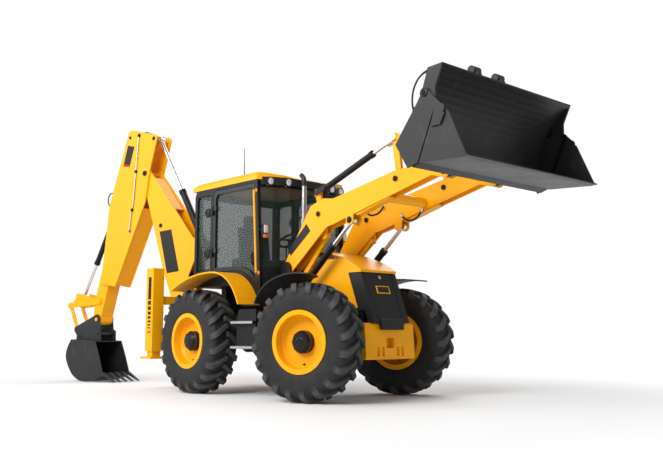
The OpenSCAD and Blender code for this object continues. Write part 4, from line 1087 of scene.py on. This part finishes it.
    def seat(self) -> None:
        """Padded seat over the CAD seat: crowned superellipsoids with sewn channels pressed in."""
        tilt = math.radians(self.seat_tilt)
        lean = np.array([[math.cos(tilt), 0, -math.sin(tilt)], [0, 1, 0],
                         [math.sin(tilt), 0, math.cos(tilt)]])
        x, z = self.seat_x, self.deck_z
        pads = (("seat_cushion", at(x + 0.005, 0.0, z + 0.285), (0.262, 0.258, 0.072), np.eye(3)),
                ("seat_back_pad", at(x - 0.222, 0.0, z + 0.575), (0.075, 0.250, 0.300), lean),
                ("seat_head_pad", at(x - 0.272, 0.0, z + 0.930), (0.055, 0.140, 0.105), lean))
        for name, centre, half, turn in pads:
            shell = Shell(name).pillow(np.zeros(3), (1, 1, 1), 0.42, size=44)
            unit = shell.points[0]
            sides = 0.05 * np.exp(-((np.abs(unit[:, 1]) - 0.62) / 0.035) ** 2)
            middle = 0.035 * np.exp(-((unit[:, 1]) / 0.03) ** 2)
            unit[:, np.argmin(half)] *= 1 - sides - middle
            shell.points[0] = centre + (unit * np.asarray(half)) @ turn.T
            pad = shell.build(self.finishes.vinyl, "chassis", "black_plastic", 60)

    def build(self) -> None:
        """Makes all the cab's trim."""
        self.visor()
        self.lamps()
        self.rails()
        self.indicators()
        self.hinge_discs()
        self.aerial()
        self.wiper()
        self.seat()


def pin_cap(shell: Shell, spot: Array, out: Array, radius: float = 0.034) -> None:
    """Adds a pin's end cap: a chamfered disc with a hexagon bolt head.

    Args:
        shell: piece to add to.
        spot: middle of the cap's foot.
        out: direction that it faces.
        radius: cap's radius.
    """
    disc = ((-0.002, radius), (0.008, radius), (0.011, radius * 0.86), (0.0115, radius * 0.45))
    bolt = ((0.010, radius * 0.42), (0.019, radius * 0.42), (0.021, radius * 0.34))
    shell.revolve(disc, spot, out, 24)
    shell.revolve(bolt, spot, out, 6)


def side_plates(name: str, outline: Spots, face: float, thick: float) -> Shell:
    """Thin plates on both sides: an (x, z) outline carried straight outwards.

    Args:
        name: piece's name.
        outline: corners in order.
        face: Y of the inner faces, measured outwards.
        thick: thickness.

    Returns:
        The shell, not yet built.
    """
    shell = Shell(name)
    for side in Side:
        shell.prism(side.line(face, outline), thick * side.out)
    return shell


def hose(name: str, points: Knots, radius: float, finish: bpy.types.Material,
         fitting: bpy.types.Material, body: str) -> None:
    """Makes a hydraulic hose fixed at both ends, with crimped fittings.

    Args:
        name: piece's name.
        points: points that it passes.
        radius: hose radius.
        finish: hose material.
        fitting: material of the end fittings.
        body: CAD body it rides on.
    """
    path = smooth_path(points, 8)
    piece = Shell(name).tube(path, radius, 12).build(finish, body, "black_plastic", HOSE_SMOOTH)
    crimp = ((-0.012, radius * 1.1), (-0.002, radius * 1.55), (0.012, radius * 1.55),
             (0.0125, radius * 1.25), (0.050, radius * 1.25), (0.052, radius * 1.02))
    ends = Shell(f"{name}_ends")
    for end, inner in ((path[0], path[2]), (path[-1], path[-3])):
        ends.revolve(crimp, end, inner - end, 12)
    ends.build(fitting, body, "rod_chrome", CAP_SMOOTH)


@dataclass
class Loader:
    """Fittings of the loader: pin caps, marking panels, hoses and the bucket's fittings."""

    finishes: Finishes
    arm_out: float = 0.516
    arm_in: float = 0.346
    knee: Pair = (2.035, 2.330)
    lever_pivot: Pair = (3.380, 2.606)
    bucket_pivot: Pair = (4.100, 2.600)
    lift_top: Pair = (2.600, 2.200)
    tip_cap_r: float = 0.042
    panel: Spots = ((1.800, 2.225), (1.880, 2.125), (1.490, 1.830), (1.435, 1.915))
    hose_y: float = 0.340
    tilt_hose_r: float = 0.013
    tilt_loop: Spots = ((2.11, 2.46), (2.13, 2.515), (2.18, 2.56), (2.24, 2.572), (2.30, 2.555),
                        (2.345, 2.51), (2.36, 2.455))
    bucket_hose_r: float = 0.012
    cross_tube: Pair = (3.050, 2.450)
    bucket_drop: Spots = ((-0.02, -0.06), (-0.05, -0.13), (-0.13, -0.19), (-0.25, -0.20),
                          (-0.34, -0.15), (-0.38, -0.10))
    clam_pivot: Pair = (4.439, 3.266)
    clam_cap_r: float = 0.046
    bucket_side: float = 1.220
    end_plate_in: float = 1.175
    end_plate_mid: float = 1.186
    # Outline of the black strips that close the jaw's joint and paint shade into its gap
    jaw_joint_shade: Spots = ((4.334, 2.634), (4.372, 2.618), (4.612, 3.130), (4.612, 3.185),
                      (4.560, 3.185), (4.548, 3.130))
    corner: Spots = ((4.411, 3.327), (4.358, 3.262), (4.314, 3.193), (4.400, 3.200),
                     (4.430, 3.300))
    clam_hose_r: float = 0.010
    clam_bow: Spots = ((4.462, 3.50), (4.40, 3.485), (4.33, 3.44), (4.275, 3.36), (4.25, 3.27),
                       (4.25, 3.18), (4.27, 3.11))

    def caps(self) -> None:
        """Caps on the arms' pins: both faces at the knee and lever, outside at the other two."""
        pins, tips = Shell("loader_pin_caps"), Shell("arm_tip_caps")
        for side in Side:
            for x, z in (self.knee, self.lever_pivot):
                pin_cap(pins, side.at(x, self.arm_out + 0.010, z), side.out)
                pin_cap(pins, side.at(x, self.arm_in, z), -side.out)
            for x, z in (self.bucket_pivot, self.lift_top):
                pin_cap(tips, side.at(x, self.arm_out - SEATED, z), side.out, self.tip_cap_r)
        for shell in (pins, tips):
            shell.build(self.finishes.black, "loader_arms", "black_paint", CAP_SMOOTH)

    def panels(self) -> None:
        """Plain black marking panels on the arms' outer faces."""
        shell = side_plates("arm_panels", self.panel, self.arm_out - SEATED, PANEL_THICK)
        shell.build(self.finishes.black, "loader_arms", "black_paint")

    def hoses(self) -> None:
        """Hoses on the arms' inner faces: a loop at the knee, a drop behind the cross tube."""
        x, z = self.cross_tube
        drop = tuple((x + a, z + b) for a, b in self.bucket_drop)
        for side in Side:
            for name, spots, radius in (("tilt_hose", self.tilt_loop, self.tilt_hose_r),
                                        ("bucket_hose", drop, self.bucket_hose_r)):
                hose(f"{name}_{side.tag}", side.line(self.hose_y, spots), radius,
                     self.finishes.hose, self.finishes.chrome, "loader_arms")

    def bucket_fittings(self) -> None:
        """Clam pin caps, black strips inside the jaw's joint that close its gap and paint shade
        into it, corner gussets and the clam hose.
        """
        black = self.finishes.black
        caps = Shell("clam_pin_caps")
        x, z = self.clam_pivot
        for side in Side:
            pin_cap(caps, side.at(x, self.bucket_side, z), side.out, self.clam_cap_r)
        caps.build(black, "loader_bucket", "black_paint", CAP_SMOOTH)
        # Painted shade: black strips inside the jaw's joint close the gap and stand in for the
        # shade in it
        strips = side_plates("jaw_joint_shade_strips", self.jaw_joint_shade, self.end_plate_in - 0.006, 0.005)
        strips.build(black, "clam_jaw", "black_paint")
        gussets = side_plates("bucket_corner_gussets", self.corner, self.end_plate_in - 0.008,
                              0.006)
        gussets.build(black, "loader_bucket", "black_paint")
        hose("clam_hose", Side.RIGHT.line(self.end_plate_mid, self.clam_bow), self.clam_hose_r,
             self.finishes.hose, black, "loader_bucket")

    def build(self) -> None:
        """Makes the loader's fittings."""
        self.caps()
        self.panels()
        self.hoses()
        self.bucket_fittings()


@dataclass
class Backhoe:
    """Fittings of the backhoe, in its own plane: u away from the machine, v to its right, z up."""

    finishes: Finishes
    slew_back: float = 1.360
    slew: float = 13.0
    boom_y: float = 0.150
    dipper_y: float = 0.175
    boom_head: Pair = (1.170, 3.505)
    ram_top: Pair = (0.791, 2.590)
    dipper_ram_base: Pair = (-0.069, 2.227)
    dipper_ram_top: Pair = (0.984, 4.085)
    dipper_head: Pair = (1.56, 4.17)
    boom_panel: Spots = ((0.815, 2.49), (0.545, 2.51), (0.350, 1.815), (0.620, 1.79))
    dipper_panel: Spots = ((1.613, 4.037), (1.450, 4.003), (1.543, 3.690), (1.706, 3.724))
    panel_end: Spots = ((1.706, 3.724), (1.543, 3.690), (1.553, 3.651), (1.718, 3.686))
    line_r: float = 0.011
    line_clamps: tuple[int, ...] = (12, 30, 46)
    line_cap: Spots = ((-0.020, 0.010), (-0.018, 0.017), (0.020, 0.017), (0.022, 0.010))
    head_hose_r: float = 0.011
    head_hose_v: Pair = (-0.05, 0.03)
    head_loop: Spots = ((1.20, 4.15), (1.21, 4.20), (1.27, 4.245), (1.36, 4.262), (1.44, 4.25),
                        (1.46, 4.225))
    ram_hose_r: float = 0.010
    ram_hose_v: Pair = (-0.062, 0.062)
    ram_loop: Spots = ((2.000, 3.022), (2.010, 3.14), (2.060, 3.250), (2.150, 3.255),
                       (2.200, 3.170), (2.175, 3.065), (2.084, 2.990))

    def at(self, u: float, v: float, z: float) -> Array:
        """Frame point from a place in the backhoe's plane."""
        c, s = math.cos(math.radians(self.slew)), math.sin(math.radians(self.slew))
        return at(-self.slew_back - u * c + v * s, -u * s - v * c, z)

    def line(self, v: float, spots: Spots) -> Array:
        """Frame points from (u, z) pairs at one v."""
        return np.stack([self.at(u, v, z) for u, z in spots])

    @property
    def right(self) -> Array:
        """Direction to the backhoe's right."""
        return self.at(0.0, 1.0, 0.0) - self.at(0.0, 0.0, 0.0)

    def caps(self) -> None:
        """Caps on the boom's and the dipper's pins, on both sides."""
        boom, dipper = self.boom_y, self.dipper_y
        for name, body, pins in (
                ("boom_pin_caps", "boom", ((self.boom_head, dipper + 0.012, 0.045),
                                           (self.ram_top, boom - SEATED, 0.036),
                                           (self.dipper_ram_base, boom + 0.010, 0.028))),
                ("dipper_pin_caps", "outer_dipper", ((self.dipper_ram_top, dipper - SEATED, 0.034),
                                                     (self.dipper_head, dipper - SEATED, 0.026)))):
            shell = Shell(name)
            for s in (-1, 1):
                for (u, z), v, radius in pins:
                    pin_cap(shell, self.at(u, s * v, z), s * self.right, radius)
            shell.build(self.finishes.black, body, "black_paint", CAP_SMOOTH)

    def panels(self) -> None:
        """Plain marking panels on both sides of the boom and the dipper, with a red end."""
        black, red = self.finishes.black, self.finishes.red_paint
        for name, face, corners, finish, body, slot in (
                ("boom_panels", self.boom_y, self.boom_panel, black, "boom", "black_paint"),
                ("dipper_panels", self.dipper_y, self.dipper_panel, black, "outer_dipper",
                 "black_paint"),
                ("dipper_panel_ends", self.dipper_y, self.panel_end, red, "outer_dipper",
                 "yellow_paint")):
            shell = Shell(name)
            for s in (-1, 1):
                shell.prism(self.line(s * (face - SEATED), corners), s * self.right * PANEL_THICK)
            shell.build(finish, body, slot)

    def pipes(self) -> None:
        """Steel line with clamps down the dipper's right side."""
        v = self.dipper_y + 0.014
        knots = ((1.329, v - 0.02, 4.215), (1.331, v, 4.185), (1.344, v, 4.091), (1.385, v, 3.555),
                 (1.425, v, 3.024), (1.468, v, 2.835), (1.494, v, 2.57), (1.496, v - 0.012, 2.535))
        path = smooth_path([self.at(*knot) for knot in knots])
        line = Shell("dipper_steel_line").tube(path, self.line_r, 12)
        line.build(self.finishes.alloy, "outer_dipper", "rod_chrome", HOSE_SMOOTH)
        clamps = Shell("dipper_line_clamps")
        for k in self.line_clamps:
            clamps.pillow(path[k] - self.right * 0.004, (0.020, 0.020, 0.026), 0.25)
        clamps.build(self.finishes.black, "outer_dipper", "black_paint")
        cap = Shell("dipper_line_cap")
        cap.revolve(self.line_cap, path[-6], path[-8] - path[-6], 14)
        cap.build(self.finishes.blue_cap, "outer_dipper", "rod_chrome")

    def hoses(self) -> None:
        """Hose loops at the dipper's head and beside the bucket cylinder's foot."""
        for name, spots, places, radius, body in (
                ("dipper_head_hose", self.head_loop, self.head_hose_v, self.head_hose_r,
                 "outer_dipper"),
                ("bucket_ram_hose", self.ram_loop, self.ram_hose_v, self.ram_hose_r,
                 "inner_dipper")):
            for k, v in enumerate(places):
                hose(f"{name}_{k}", self.line(v, spots), radius, self.finishes.hose,
                     self.finishes.chrome, body)

    def build(self) -> None:
        """Makes the backhoe's fittings."""
        self.caps()
        self.panels()
        self.pipes()
        self.hoses()


@dataclass
class Front:
    """Grille plate, lock and beads, and the side steps' edges."""

    finishes: Finishes
    grille_top: Pair = (2.586, 1.567)
    grille_low: Pair = (2.823, 0.944)
    panel_half: float = 0.235
    sunk: float = -0.002
    lock_down: float = 0.085
    lock_profile: Spots = ((-0.002, 0.024), (0.006, 0.024), (0.009, 0.020), (0.0092, 0.008),
                           (0.007, 0.004))
    bead_r: float = 0.007
    step_ends: Pair = (0.875, 1.340)
    step_y: float = 1.0305
    step_z: Pair = (0.618, 0.940)
    step_section: Spots = ((-0.070, 0.0365), (-0.004, 0.0375), (0.0, 0.033), (0.0, 0.004),
                           (-0.003, 0.001), (-0.070, 0.035))

    def on_panel(self, down: float, y: float, proud: float) -> Array:
        """Point on the sloped grille: top edge + down * slope + proud * unit normal.

        Args:
            down: share of the way from the top edge to the low edge.
            y: place across.
            proud: height over the face.

        Returns:
            Frame point.
        """
        (x0, z0), (x1, z1) = self.grille_top, self.grille_low
        slope = np.array([x1 - x0, 0.0, z1 - z0])
        face = np.array([z0 - z1, 0.0, x1 - x0])
        return at(x0, y, z0) + down * slope + proud * face / np.linalg.norm(face)

    def plate(self) -> None:
        """Bare framed plate and a round lock on the grille."""
        face = self.on_panel(0, 0, 1.0) - self.on_panel(0, 0, 0.0)
        for name, top, low, half, proud, finish, slot in (
                ("grille_plate_frame", 0.265, 0.415, 0.115, 0.006, self.finishes.yellow,
                 "yellow_paint"),
                ("grille_plate", 0.282, 0.398, 0.100, 0.0075, self.finishes.plastic,
                 "black_plastic")):
            corners = ((top, -half), (top, half), (low, half), (low, -half))
            ring = np.stack([self.on_panel(down, y, self.sunk) for down, y in corners])
            Shell(name).prism(ring, (proud - self.sunk) * face).build(finish, "bonnet", slot)
        lock = Shell("grille_lock")
        lock.revolve(self.lock_profile, self.on_panel(self.lock_down, 0.0, 0.0), face, 24)
        lock.build(self.finishes.alloy, "bonnet", "rod_chrome")

    def beads(self) -> None:
        """Two raised bead lines down the grille's face."""
        shell = Shell("grille_beads")
        for side in Side:
            path = np.stack([self.on_panel(d, side.value * (self.panel_half - 0.03 * d), 0.002)
                             for d in np.linspace(0.02, 0.97, 16)])
            shell.tube(path, self.bead_r, 8)
        shell.build(self.finishes.black, "bonnet", "black_paint")

    def steps(self) -> None:
        """Bright edges on the side steps: a lipped section carried along X."""
        shell = Shell("step_edges")
        x = np.linspace(*self.step_ends, 24)[:, None] - REAR_AXLE_BACK
        across, up = np.array(self.step_section).T
        for side in Side:
            for z in self.step_z:
                rings = np.broadcast_arrays(x, side.value * (self.step_y + across), z + up)
                shell.loft(np.stack(rings, -1))
        shell.build(self.finishes.alloy, "chassis", "rod_chrome")

    def build(self) -> None:
        """Makes the front's fittings."""
        self.plate()
        self.beads()
        self.steps()


@dataclass
class Studio:
    """Pale floor, soft lamps and the camera at the photograph's angle."""

    camera_at: tuple[float, float, float] = (9.930, -7.584, 0.8145)
    yaw: float = 47.27
    pitch: float = 7.386
    lens: float = 45.49
    sensor: float = 36.0
    floor_half: float = 60.0
    clear_from: float = 3.4
    clear_to: float = 6.6
    ambient: float = 0.46

    def camera(self) -> None:
        """Sets the camera; yaw turns from looking along Y, pitch looks up."""
        data = bpy.data.cameras.new("photo_camera")
        data.sensor_width = self.sensor
        data.lens = self.lens
        data.clip_end = 200.0
        camera = bpy.data.objects.new("photo_camera", data)
        camera.location = at(*self.camera_at)
        camera.rotation_euler = Euler((math.radians(90 + self.pitch), 0.0, math.radians(self.yaw)))
        bpy.context.scene.collection.objects.link(camera)
        bpy.context.scene.camera = camera

    def lamp(self, name: str, place: Sequence[float], aim: Sequence[float], size: float,
             power: float) -> None:
        """Adds one square area lamp aimed at a point.

        Args:
            name: lamp's name.
            place: where it hangs.
            aim: point it faces.
            size: side of the square.
            power: watts.
        """
        data = bpy.data.lights.new(name, "AREA")
        data.size = size
        data.energy = power
        lamp = bpy.data.objects.new(name, data)
        first, second, back = basis(np.asarray(place, float) - np.asarray(aim, float))
        rows = [[first[k], second[k], back[k], place[k]] for k in range(3)] + [[0, 0, 0, 1]]
        lamp.matrix_world = Matrix(rows)
        bpy.context.scene.collection.objects.link(lamp)

    def world(self) -> None:
        """Even grey light, with white behind the machine for camera and transmitted rays."""
        graph = Graph(bpy.data.worlds.new("studio"))
        camera, clear = (graph.node("ShaderNodeLightPath", {}, {}, f"Is {kind} Ray")
                         for kind in ("Camera", "Transmission"))
        level = graph.node("ShaderNodeMapRange", {}, {"Value": camera.most(clear),
                                                      "To Min": self.ambient, "To Max": 1.0})
        back = graph.node("ShaderNodeBackground", {}, {"Color": (1, 1, 1, 1), "Strength": level})
        graph.end("ShaderNodeOutputWorld", back)
        bpy.context.scene.world = graph.owner

    def floor(self) -> None:
        """Flat pale floor that clears to white away from the machine."""
        h = self.floor_half
        mesh = bpy.data.meshes.new("floor")
        mesh.from_pydata([(-h, -h, 0), (h, -h, 0), (h, h, 0), (-h, h, 0)], [], [(0, 1, 2, 3)])
        graph = Graph(bpy.data.materials.new("floor_paper"))
        x, y, _ = graph.axes()
        clear = (x * x + y * y).root().above((self.clear_from + self.clear_to) / 2,
                                             self.clear_to - self.clear_from)
        tone = graph.vary(graph.noise(0.6, 2.0), Tone.PAPER, 0.985, 1.015)
        paper = graph.principled(Base_Color=tone, Roughness=0.7, Specular_IOR_Level=0.2)
        glow = graph.node("ShaderNodeEmission", {}, {})
        blend = graph.node("ShaderNodeMixShader", {}, {0: clear, 1: paper, 2: glow})
        graph.end("ShaderNodeOutputMaterial", blend)
        mesh.materials.append(graph.owner)
        floor = bpy.data.objects.new("floor", mesh)
        bpy.context.scene.collection.objects.link(floor)

    def build(self) -> None:
        """Makes the whole set."""
        bpy.context.scene.view_settings.view_transform = "Standard"
        self.camera()
        self.world()
        self.floor()
        self.lamp("key", (2.2, -8.6, 7.0), (0.3, 0.0, 1.6), 5.0, 900.0)
        self.lamp("fill", (-5.5, -7.0, 5.0), (-1.0, 0.0, 1.5), 6.0, 300.0)
        self.lamp("back", (-3.0, 7.0, 7.5), (0.0, 0.0, 1.8), 6.0, 400.0)


def main() -> None:
    """Builds the set, dresses the CAD nodes and makes every sub-assembly in order."""
    logging.basicConfig(level=logging.INFO, format="%(message)s")
    Studio().build()
    finishes = Finishes()
    finishes.dress()
    for assembly in (Wheels, Cab, Front, Loader, Backhoe):
        LOG.info("%s", assembly.__name__)
        assembly(finishes).build()


if __name__ == "__main__":
    main()
